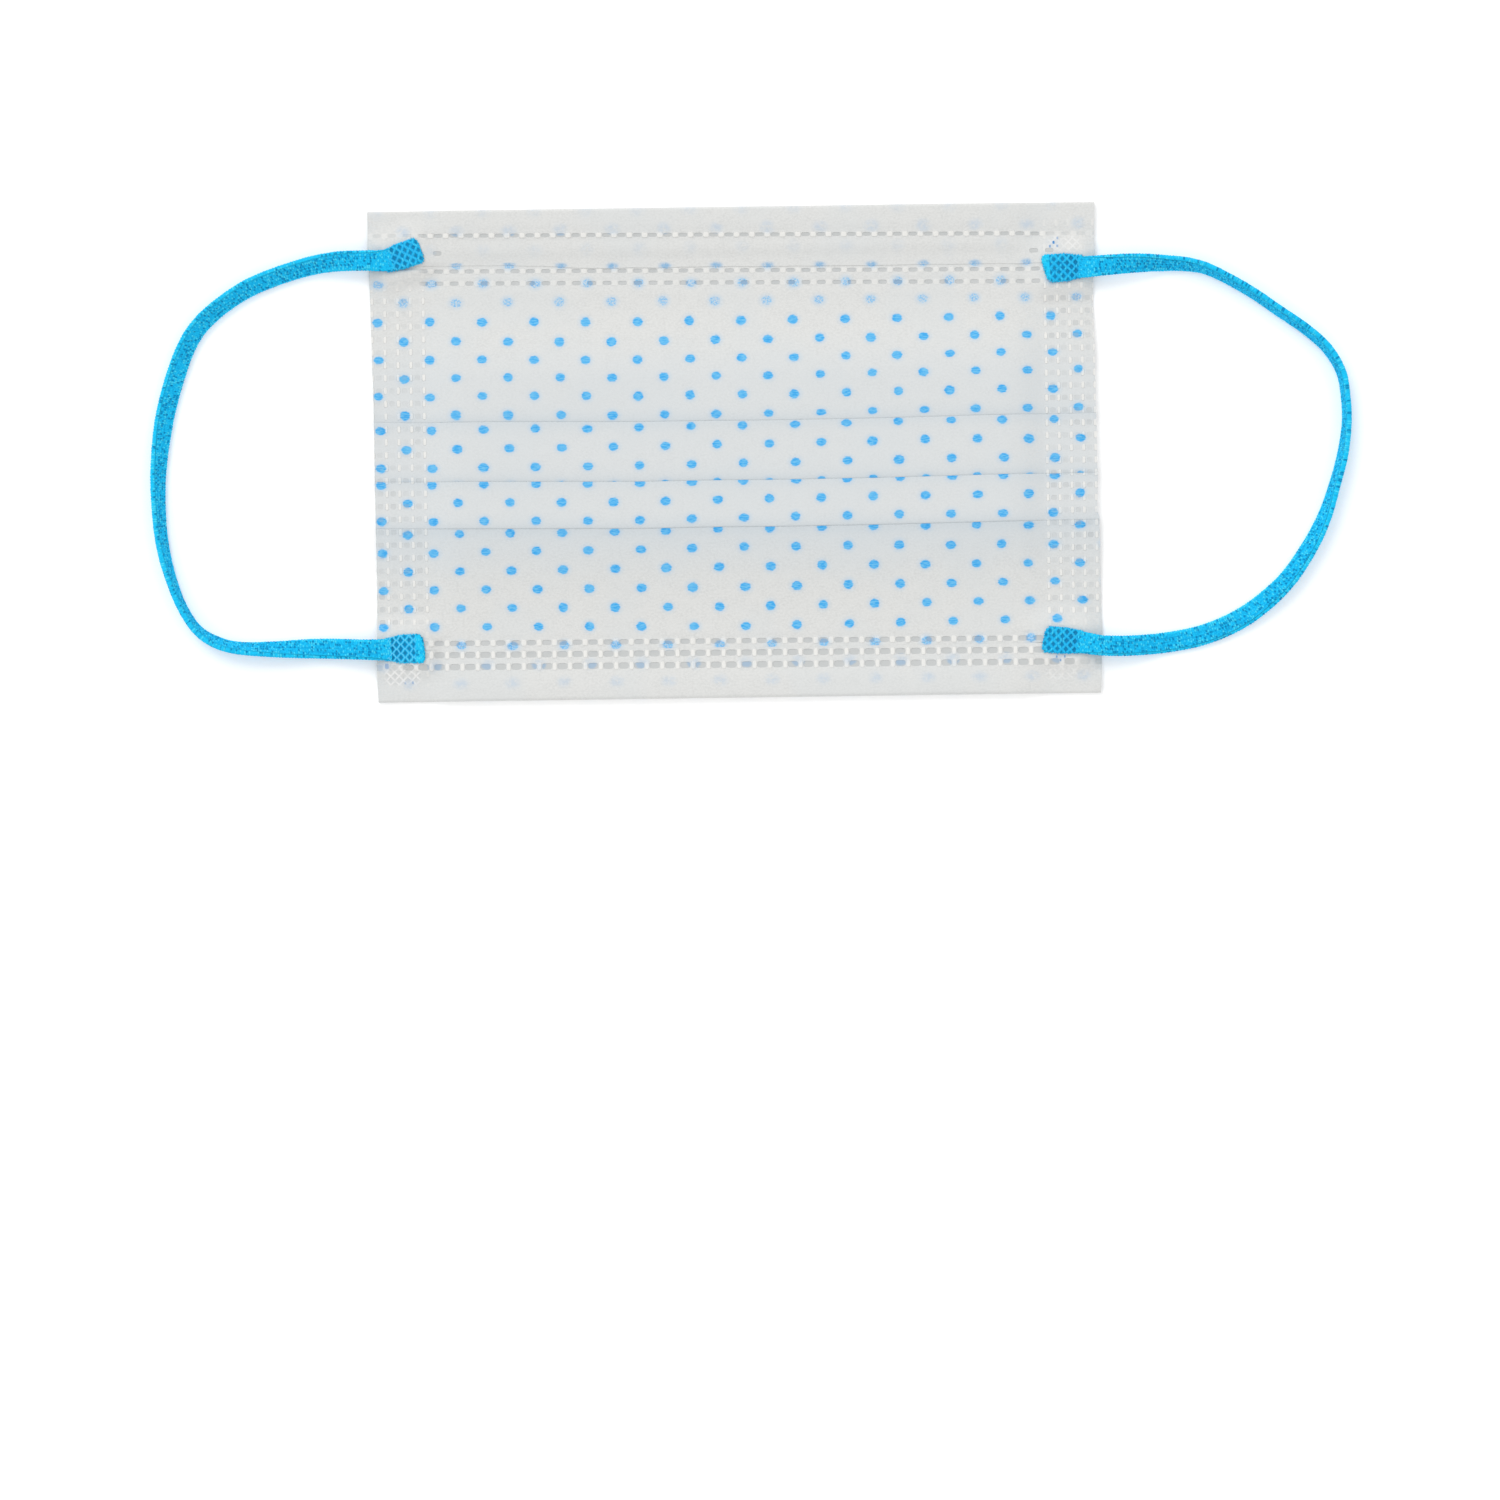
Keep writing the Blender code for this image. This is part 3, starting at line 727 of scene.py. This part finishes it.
def place_printed(x, y, z):
    """Where a place of the printed ply goes, its ink, how much a fold shades it and its drift."""
    height = z * seam_press(x) + lift(x, y, z)
    rows = [1 - ease(abs(y - r[0] - r[1] * x), 0.5, 1.8) for r in PANEL_ROWS]
    height -= 0.10 * max(rows)
    target = 1.90 if CHIN_FLAP_EDGE < y < NOSE_FLAP_EDGE else 1.62
    if abs(y) > 28 and abs(x) > 55:
        height += pad_mound(x, y) * max(0.0, target - height)
    shade = 0.0
    if abs(y) > 17 or z > 2.0:
        height += weld_relief(x, y, PANEL_ROWS)
        away = min(abs(y - outer + 0.98) for _, outer in PLEATS)
        shade = 0.9 * math.exp(-((away / 1.5) ** 1.4))
        past = PLEATS[-1][1] - 0.9 - y
        shade += 0.50 * ease(past, 0.0, 0.6) * (1 - ease(past, 3.0, 16.0))
    spot = Vector((x + edge_shift(x, y), y + fold_wander(x, y), height))
    # The dots are paler near the mask's long edges.
    ink = 1.0 - (z < 2.6) * (0.55 * ease(y, 28.9, 29.4) + 0.27 * ease(-y, 36.0, 36.6))
    return spot, ink, shade, drift(x, y)


def dots(start, x, w):
    """The print: the distance to the nearest dot, 1 at its rim, and each dot's own number."""
    ragged = start.joined(x * 0.9, w * 3.4).noise(1.0, 3.0, 0.65)
    nearest, pick = x * 0.0 + 9.0, x * 0.0
    for shift_x, shift_w in ((DOT_START, 0.0), (DOT_START - DOT_PITCH / 2, DOT_ROW)):
        across = (x - (shift_x - DOT_PITCH / 2)) / DOT_PITCH
        down = (w - (shift_w - DOT_ROW)) / (2 * DOT_ROW)
        dx = (across % 1.0 - 0.5) * DOT_PITCH
        dy = (down % 1.0 - 0.5) * (2 * DOT_ROW)
        cell = start.joined(across - across % 1.0, down - down % 1.0)
        jitter = cell.node("TexWhiteNoise", {"noise_dimensions": "2D"}, {"Vector": cell}, 1)
        jx, jy, one = jitter.parts()
        dx = dx + (jx - 0.5) * 0.24
        dy = dy + (jy - 0.5) * 0.18
        wide, high = 0.98 + (jy - 0.5) * 0.14, 0.84 + (jx - 0.5) * 0.14
        away = ((dx * dx) / (wide * wide) + (dy * dy) / (high * high)) ** 0.5
        away = away + (ragged - 0.5) * 0.75
        nearest = nearest.least(away)
        pick = pick + one * away.between(1.7, 1.5)
    return nearest, pick


def stamped(dx, dy, half_x, half_y, soft=0.30):
    """1 inside a rectangle with rounded corners about a place, falling to 0 at its rim."""
    across, down = dx / half_x, dy / half_y
    across, down = across * across, down * down
    return (across * across + down * down).between(1 + soft, 1 - soft)


def stamps(x, y, marks, soft):
    """The strongest at a place of some marks (x, y, half width, half height, how clear)."""
    found = x * 0.0
    for mark_x, mark_y, half_x, half_y, clear in marks:
        found = found.most(stamped(x - mark_x, y - mark_y, half_x, half_y, soft) * clear)
    return found


def weld_paint(start, x, y):
    """Masks of the welded dashes, of the raised bars between them, which carry a painted highlight,
    and of the side grids' marks.
    """
    dash, bar = x * 0.0, x * 0.0
    for middle, slope, first, pitch, half_x, half_y, bars in WELD_ROWS:
        dy = y - x * slope - middle
        dx = (((x - first) / pitch + 0.5) % 1.0 - 0.5) * pitch
        # The rows go on faintly to the mask's sides, and the outermost ones more clearly.
        past_ends = 0.45 if abs(middle) > 42 else 0.12
        reach = 67.5 if middle < -42 else 62.6
        ends = abs(x).between(reach + 1, reach - 1)
        clear = past_ends + (1 - past_ends) * ends
        dash = dash.most(stamped(dx, dy, half_x - 0.03, half_y + 0.02, 0.45) * clear)
        gap = pitch / 2 - abs(dx)
        found = stamped(gap, dy, pitch / 2 - half_x - 0.12, half_y + 0.19, 0.5)
        bar = bar.most(found * (0.35 + 0.65 * ends) * bars)
    for stop_x, stop_y in CHANNEL_STOPS:
        dash = dash.most(stamped(x - stop_x, y - stop_y, 0.80, 0.40))
    mark = x * 0.0
    for side, (first_x, step_x, first_y, step_y) in zip((-1, 1), SIDE_GRIDS):
        column = (x - first_x) / step_x + 0.5
        row = (y - first_y) / step_y + 0.5
        dy = (row % 1.0 - 0.5) * step_y
        cell = start.joined(column - column % 1.0, row - row % 1.0, side)
        chance = cell.node("TexWhiteNoise", {"noise_dimensions": "3D"}, {"Vector": cell})
        patchy = start.joined(x, y, side).noise(0.10, 1.0).between(0.40, 0.62)
        patchy = patchy * 0.5 + (y.between(4.0, -8.0) * 0.5 if side < 0 else 0.30)
        zone = (x * side).between(62.3, 62.7)
        between_pads = abs(y).between(33.7, 33.3)
        dx = (column % 1.0 - 0.5) * abs(step_x)
        found = stamped(dx, dy, 0.54, 0.50) * (0.10 + 0.90 * patchy) * (0.45 + 0.55 * chance)
        mark = mark.most(found * zone * between_pads)
        dx = ((column + 0.5) % 1.0 - 0.5) * abs(step_x)
        found = stamped(dx, dy, 0.32, 0.66, 0.50) * (0.75 + 0.35 * chance)
        zone = (x * side).between(61.7, 61.9) * abs(y).between(46.5, 45.5)
        bar = bar.most(found * zone * (0.35 + 0.55 * between_pads))
    return dash, bar, mark


def bare_cloth(start):
    """The nonwoven without its print: the place in millimetres, the masks of the dashes and of
    the grids' marks, how cloudy it is, its colour and its height."""
    x, y, _ = start.node("TexCoord", None, None, "Object").parts()
    x, y = x * 1000, y * 1000
    dash, bar, mark = weld_paint(start, x, y)
    fuzz = start.joined(x, y * 1.35).noise(1.9, 3.0, 0.65)
    cloud = start.joined(x, y).noise(0.42, 3.0, 0.6)
    wide = start.joined(x, y).noise(0.055, 2.0)
    white = fuzz.between(0.30, 0.70).colour((0.635, 0.640, 0.628), (0.717, 0.721, 0.708))
    white = (cloud.between(0.35, 0.65) * 0.45).colour(white, (0.712, 0.716, 0.702))
    white = (wide.between(0.45, 0.62) * 0.30).colour(white, (0.650, 0.680, 0.690))
    pleats = abs(y).between(26.0, 14.0) * 0.45
    white = pleats.colour(white, (0.640, 0.680, 0.705))
    # The raised bars between the dashes are painted lighter and warmer: a painted highlight where
    # the cloth stands up.
    colour = (bar * 0.90).colour(white, (0.825, 0.815, 0.785))
    height = (fuzz * 0.5 + cloud * 0.5) * (1 - dash * 0.8) + bar * 0.9 - mark * 0.5 - dash * 0.4
    return (x, y), (dash, mark), cloud, colour, height


print_material, start, shader = new_cloth_material("printed_nonwoven", 0.82)
x, w, strength = attribute(start, "print").parts()
shade = attribute(start, "shade", "Fac")
_, (dash, mark), cloud, colour, height = bare_cloth(start)
away, pick = dots(start, x, w)
streaks = start.joined(x * 0.8, w * 4.2).noise(1.0, 3.0, 0.6)
mottle = start.joined(x, w).noise(3.0, 2.0, 0.6)
solid = away.between(1.18, 0.86)
broken = mottle.between(0.44, 0.56) * (1 - strength).between(0.1, 0.4)
solid = solid * (1 - broken * 0.88) * (0.45 + 0.55 * strength)
halo = away.between(2.2, 0.8) * (0.10 + 0.45 * cloud)
blue = streaks.between(0.40, 0.60).colour((0.030, 0.370, 0.800), (0.150, 0.520, 0.840))
blue = (pick.between(0.55, 0.95) * 0.35).colour(blue, (0.14, 0.50, 0.82))
grey = cloud.between(0.35, 0.65).colour((0.500, 0.518, 0.520), (0.545, 0.558, 0.558))
inked_grey = (away.between(1.30, 0.90) * 0.68).colour(grey, (0.13, 0.33, 0.57))
colour = halo.colour(colour, (0.38, 0.57, 0.76))
colour = (solid * 0.97).colour(colour, blue)
colour = (mark * 0.80).colour(colour, inked_grey)
colour = (dash * 0.92).colour(colour, inked_grey)
tint = shade.colour((1.0, 1.0, 1.0), (0.900, 0.935, 0.965))
colour = colour.node(
    "Mix", {"data_type": "RGBA", "blend_type": "MULTIPLY"}, {0: 1.0, 6: colour, 7: tint}, out=2
)
finish_shader(shader, start, colour, height, 0.10, 0.86 - dash * 0.36)


section = printed_section()
printed_ply = cloth(
    "printed_ply", columns_for(0.47, 2.55), section, place_printed,
    lambda z: PANEL_ROWS if z < 2.0 else (), print_material,
)
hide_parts("pleated_panel")

# The inner ply: soft white nonwoven that lies against the face, folded with the printed one. The
# print and the welds show through it faintly.


def inner_section():
    """The inner ply's middle line as (y, z, print row)."""
    low, high = 0.15, 2.55
    points = nose_band(INNER_EDGE, low, high, WELD_ROWS)
    for band, (inner, outer) in enumerate(PLEATS):
        add(points, level(inner, outer, high, HIDDEN_STEP))
        add(points, arc((outer, 2.3), 0.25, 130, 270, 4))
        add(points, level(outer, inner, 2.05, HIDDEN_STEP))
        add(points, arc((inner, 1.1), 0.95, 70, 0, 4))
        add(points, arc((inner, 1.1), 0.95, -20, -90, 4), band + 1)
        if band < 2:
            add(points, level(inner, outer, low, OPEN_STEP), band + 1)
            add(points, arc((outer, 2.3), 2.15, 270, 207, 6)[1:], band + 1)
            add(points, arc((PLEATS[band + 1][0], 1.1), 1.45, 30, 90, 4))
    add(points, level(PLEATS[-1][0], -INNER_EDGE, low, OPEN_STEP, WELD_ROWS), 3)
    return filled_print(points)


def place_inner(x, y, z):
    """Where a place of the inner ply goes, its ink, 1 for the mask's underside and no drift."""
    height = z * seam_press(x) if z > 0.4 else z
    height += lift(x, y, z)
    if z < 1.2:
        height -= 0.5 * weld_relief(x, y, WELD_ROWS)
    bow = fold_wander(x, y) * ease(z, 0.3, 1.0)
    return Vector((x * 0.997 + edge_shift(x, y), y + bow, height)), 0.5, 1.0, 0.0


white_material, start, shader = new_cloth_material("white_nonwoven", 0.85)
x, w, strength = attribute(start, "print").parts()
under = attribute(start, "shade", "Fac")
(place_x, place_y), (dash, mark), cloud, colour, height = bare_cloth(start)
away, _ = dots(start, x, w)
# The pads' tool also leaves a lattice of ridges in the bare cloth, and a few specks of blue.
across, down = place_x / PIT_ACROSS, place_y / (2 * PIT_DOWN)
first_way, second_way = (abs(way % 1.0 - 0.5) for way in (across + down, across - down))
off_ridge = first_way.least(second_way)
hatch = stamps(place_x, place_y, HATCHES, 0.5) * (1 - under)
hatch = hatch * (0.45 + 0.55 * cloud.between(0.40, 0.60))
marks = [(at_x, at_y, 0.22 * size, 0.32 * size, dark) for at_x, at_y, size, dark in SPECKS]
speck = stamps(place_x, place_y, marks, 0.6) * (1 - under)
colour = (hatch * off_ridge.between(0.20, 0.34) * 0.35).colour(colour, (0.560, 0.575, 0.575))
colour = (hatch * off_ridge.between(0.20, 0.06) * 0.90).colour(colour, (0.850, 0.850, 0.840))
mottle = start.joined(x, w).noise(0.9, 3.0, 0.6)
smudge = away.between(2.2, 0.3) * mottle.between(0.25, 0.62) * strength.least(0.70)
colour = (smudge * 0.62).colour(colour, (0.38, 0.53, 0.71))
streak = start.joined(x * 1.6, w * 0.9).noise(1.0, 3.0, 0.7).between(0.30, 0.55)
streak = streak * away.between(1.6, 0.4) * strength.between(0.75, 1.0)
colour = (streak * 0.72).colour(colour, (0.14, 0.39, 0.66))
grey = under.colour((0.520, 0.535, 0.532), (0.44, 0.50, 0.58))
inked = away.between(1.7, 1.0) * strength.between(0.15, 0.50) * 0.75
inked = inked.colour(grey, (0.28, 0.43, 0.60))
colour = (mark * (0.35 + 0.55 * under)).colour(colour, inked)
colour = (dash * 0.92).colour(colour, inked)
colour = (speck * 0.90).colour(colour, (0.025, 0.230, 0.570))
height = height + hatch * off_ridge.between(0.26, 0.06) * 0.8
finish_shader(shader, start, colour, height, 0.10, 0.88 - dash * 0.36)

section = inner_section()
inner_ply = cloth(
    "inner_ply", columns_for(0.52, 2.7), section, place_inner,
    lambda z: WELD_ROWS if z < 1.0 else (), white_material,
)
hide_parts("pleated_panel")

# The hems: the inner ply carries on round both long edges and back over the printed ply, where
# the dash rows weld it down. The nose hem is swollen by the channel along its middle, between
# these two heights and this far from the middle to each side.
CHANNEL = (43.2, 39.0)
CHANNEL_HALF = 58.0


def hem_section(side, flap_edge, rows):
    """A hem's middle line as (y, z, print row), from under the mask, round and back on top."""
    turn = 48.66 if side > 0 else 48.46
    points = [(side * y, 0.15) for y in stations(INNER_EDGE, turn, 0.55)]
    points += [
        (side * (turn + 0.52 * y), 1.05 + 0.90 * z) for y, z in arc((0, 0), 1.0, -75, 75, 10)
    ]
    edge = abs(flap_edge)
    mirrored = [(side * r[0], *r[1:]) for r in rows]
    for y in stations(turn, edge, OPEN_STEP, mirrored):
        points.append((side * y, 0.90 + 1.05 * ease(y, edge - 0.8, 47.6)))
    return [(y, z, hem_print(y)) for y, z in points]


def hem_print(y):
    """The print row that shows through a hem at a height y. The nose hem's first row is squeezed
    to short streaks where it runs under the hem's edge, and the next ones lie a little low."""
    if y < 0:
        return BAND_PRINT[3](y)
    if y < 39.1:
        return 34.02 + (y - 37.72) * 1.55
    return y - 3.40 + 0.40 * (1 - ease(y, 39.1, 40.2))


def place_hem(x, y, z):
    """Where a place of a hem goes, its ink, 1 for the mask's underside and its dots' drift."""
    on_top = z > 0.90
    height = z * seam_press(x) if z > 0.4 else z
    height += lift(x, y, z)
    rows = NOSE_ROWS if y > 0 else CHIN_ROWS
    if on_top:
        if y > 0:
            swell = ease(CHANNEL[0] - y, 0.0, 2.0) * ease(y - CHANNEL[1], 0.0, 1.9)
            height += 0.20 * swell * (1 - ease(abs(x), CHANNEL_HALF - 2, CHANNEL_HALF))
        line = max(1 - ease(abs(y - r[0] - r[1] * x), 0.4, 2.2) for r in rows)
        height -= 0.07 * line
        height += pad_mound(x, y) * max(0.0, 2.05 - height)
        height += weld_relief(x, y, rows)
    fray = 0.0
    if abs(abs(y) - abs(NOSE_FLAP_EDGE if y > 0 else CHIN_FLAP_EDGE)) < 0.3:
        fray = 0.12 * noise.noise(Vector((x / 3.5, 2.5 if y > 0 else 7.5, 1.0)))
    higher = 0.0
    if on_top and 0 < y < 39.3:
        higher = -0.43 * ease(x, -10, 10)
        fray += (0.85 * ease(-x, 25, 48) - 0.15 * ease(x, 0, 40)) * (1 - ease(y, 37.4, 39.2))
    spot = Vector((x + edge_shift(x, y), y + fray, height))
    # The print shows through the chin hem evenly, and through the nose hem in some rows more.
    ink = 0.62 * ease(y, -47.6, -45.6) if on_top else 0.4
    if on_top and y > 0:
        ink = 0.28 + 0.36 * (1 - ease(abs(y - 45.1), 1.0, 2.0)) + 0.8 * (1 - ease(y, 38.9, 39.5))
    return spot, ink, 0.0 if on_top else 1.0, higher


for side, name, flap_edge, rows in (
    (1, "top_hem", NOSE_FLAP_EDGE, NOSE_ROWS),
    (-1, "bottom_hem", CHIN_FLAP_EDGE, CHIN_ROWS),
):
    section = hem_section(side, flap_edge, rows)
    hem = cloth(
        name + "_cloth", columns_for(0.47, 2.55), section, place_hem,
        lambda z, rows=rows: rows if z > 0.9 else (), white_material,
    )
    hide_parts(name)

# The pads: each end of the elastic, pressed flat and welded to the mask by a tool with rows of
# small diamonds. The pits are dark and shiny, and fluff stands out round the edge.
PAD_LONG = 7.8
PAD_TOP, PAD_FOOT = 3.00, 1.92
# Each pad's width at its inner and outer ends, how far its inner end is cut aslant, how far from
# that end its pits start and stop, how bright its ridges are and how bright the bare end is
PAD_CUT = {
    "left_upper": (5.3, 4.5, 0.03, 0.0, 8.4, 0.30, 0.0),
    "left_lower": (5.8, 4.6, 0.10, 1.8, 8.4, 0.95, 0.4),
    "right_upper": (5.6, 4.5, -0.22, 1.2, 7.2, 0.15, 1.0),
    "right_lower": (5.3, 4.6, 0.14, 0.0, 7.0, 0.15, 0.0),
}


def pit(along_pad, across_pad):
    """How deep a place is in the diamond lattice, from 0 on a ridge to 1 in a pit."""
    row = across_pad / PIT_DOWN
    near_row = round(row)
    deepest = 0.0
    for r in (near_row - 1, near_row, near_row + 1):
        shift = 0.5 * (r % 2)
        column = along_pad / PIT_ACROSS - shift
        dx = (column - round(column)) * PIT_ACROSS
        dy = across_pad - r * PIT_DOWN
        diamond = abs(dx) / 0.76 + abs(dy) / 1.00
        deepest = max(deepest, 1 - ease(diamond, 0.30, 0.88))
    return deepest


def weld_pad(key):
    """One pad: a pressed top with its pits, and a skirt round it down to the cloth."""
    pad_x, pad_y, tilt, side = PADS[key]
    inner_wide, outer_wide, slant, pits_start, pits_stop, bright, end_bright = PAD_CUT[key]
    name = "weld_pad_" + key
    nx, ny = 96, 72
    bm = bmesh.new()
    bmesh.ops.create_grid(bm, x_segments=nx, y_segments=ny, size=0.5)
    knit_layer = bm.verts.layers.float_vector.new("knit")
    pit_layer = bm.verts.layers.float_vector.new("pit")
    turn = Matrix.Rotation(math.radians(tilt), 3, "Z")
    seed = 3.0 * list(PADS).index(key)
    for vertex in bm.verts:
        u, v = vertex.co.x * 2, vertex.co.y * 2
        # u runs from the inner end (-1) to the outer end (1), where the elastic joins.
        half_wide = (outer_wide + (inner_wide - outer_wide) * ease(1 - u, 0.0, 1.0)) / 2
        rim = max(abs(u) if u < 0 else 0.0, abs(v))
        fluff = noise.noise(Vector((u * 15, v * 11, seed))) * ease(rim, 0.72, 1.0)
        fluff += 0.5 * noise.noise(Vector((u * 34, v * 25, seed))) * ease(rim, 0.85, 1.0)
        a = u * (PAD_LONG / 2 + 0.30 * fluff)
        b = v * (half_wide + 0.30 * fluff)
        # The inner end's corners are rounded.
        over = max(0.0, (-u - 0.80) / 0.20)
        b *= 1 - 0.20 * over**2.5
        a += 0.35 * abs(v) ** 5 * ease(-u, 0.5, 1.0) + slant * b * ease(-u, -0.6, 1.0)
        from_end = a + PAD_LONG / 2
        pressed = 1 - ease(from_end, pits_stop - 0.5, pits_stop + 0.2)
        pressed *= ease(from_end, pits_start - 0.3, pits_start + 0.2) if pits_start else 1.0
        pressed *= 0.70 + 0.30 * ease(from_end, 2.0, pits_stop)
        edge = ease(1 - abs(v), 0.0, 0.12) * ease(1 + u, 0.0, 0.07)
        depth = pit(a + seed * 0.3, b) * pressed * edge
        crown = (1 - edge) * -0.35
        grain = 0.09 * noise.noise(Vector((a * 2.6, b * 2.6, seed + 5)))
        z = PAD_TOP - 0.05 + crown - 0.26 * depth + grain
        z -= 0.12 * ease(0.5 - u, 0.0, 1.0)
        spot = turn @ Vector((side * a, b, 0))
        vertex.co = (pad_x + spot.x, pad_y + spot.y, z)
        vertex[knit_layer] = (b * 0.9, a + 3.0 + seed, min(1.0, pressed * 1.4))
        loose = end_bright * (1 - ease(from_end, pits_start - 0.2, pits_start + 0.1))
        vertex[pit_layer] = (depth, bright * pressed, loose - pressed)
    rim_edges = [e for e in bm.edges if e.is_boundary]
    skirt = bmesh.ops.extrude_edge_only(bm, edges=rim_edges)["geom"]
    foot = [v for v in skirt if isinstance(v, bmesh.types.BMVert)]
    for vertex in foot:
        vertex.co.z = PAD_FOOT
    bmesh.ops.holes_fill(bm, edges=[e for e in bm.edges if e.is_boundary])
    bmesh.ops.recalc_face_normals(bm, faces=bm.faces)
    piece = new_piece(name + "_elastic", bm, pressed_knit)
    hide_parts(name)


pressed_knit, start, shader = new_cloth_material("pressed_blue_elastic", 0.6)
across, along, grain = attribute(start, "knit").parts()
depth, bright, loose = attribute(start, "pit").parts()
colour, height = knit_colours(start, across, along, grain)
deep = start.joined(across, along).noise(2.5, 2.0).colour((0.004, 0.15, 0.33), (0.010, 0.25, 0.50))
# loose is above 0 where the end is bare and bright, and below 0 where the tool has pressed.
colour = ((0 - loose).most(0.0) * 0.45).colour(colour, (0.004, 0.390, 0.760))
ridge = depth.between(0.06, 0.00) * bright
colour = (ridge * 0.65).colour(colour, (0.20, 0.66, 0.92))
colour = (loose.most(0.0) * 0.50).colour(colour, (0.02, 0.66, 0.96))
colour = (depth.between(0.15, 0.75) * 0.92).colour(colour, deep)
shader.inputs["Specular IOR Level"].default_value = 0.10
finish_shader(shader, start, colour, height * (1 - depth), 0.14, 0.72 - depth * 0.3)

for key in PADS:
    weld_pad(key)
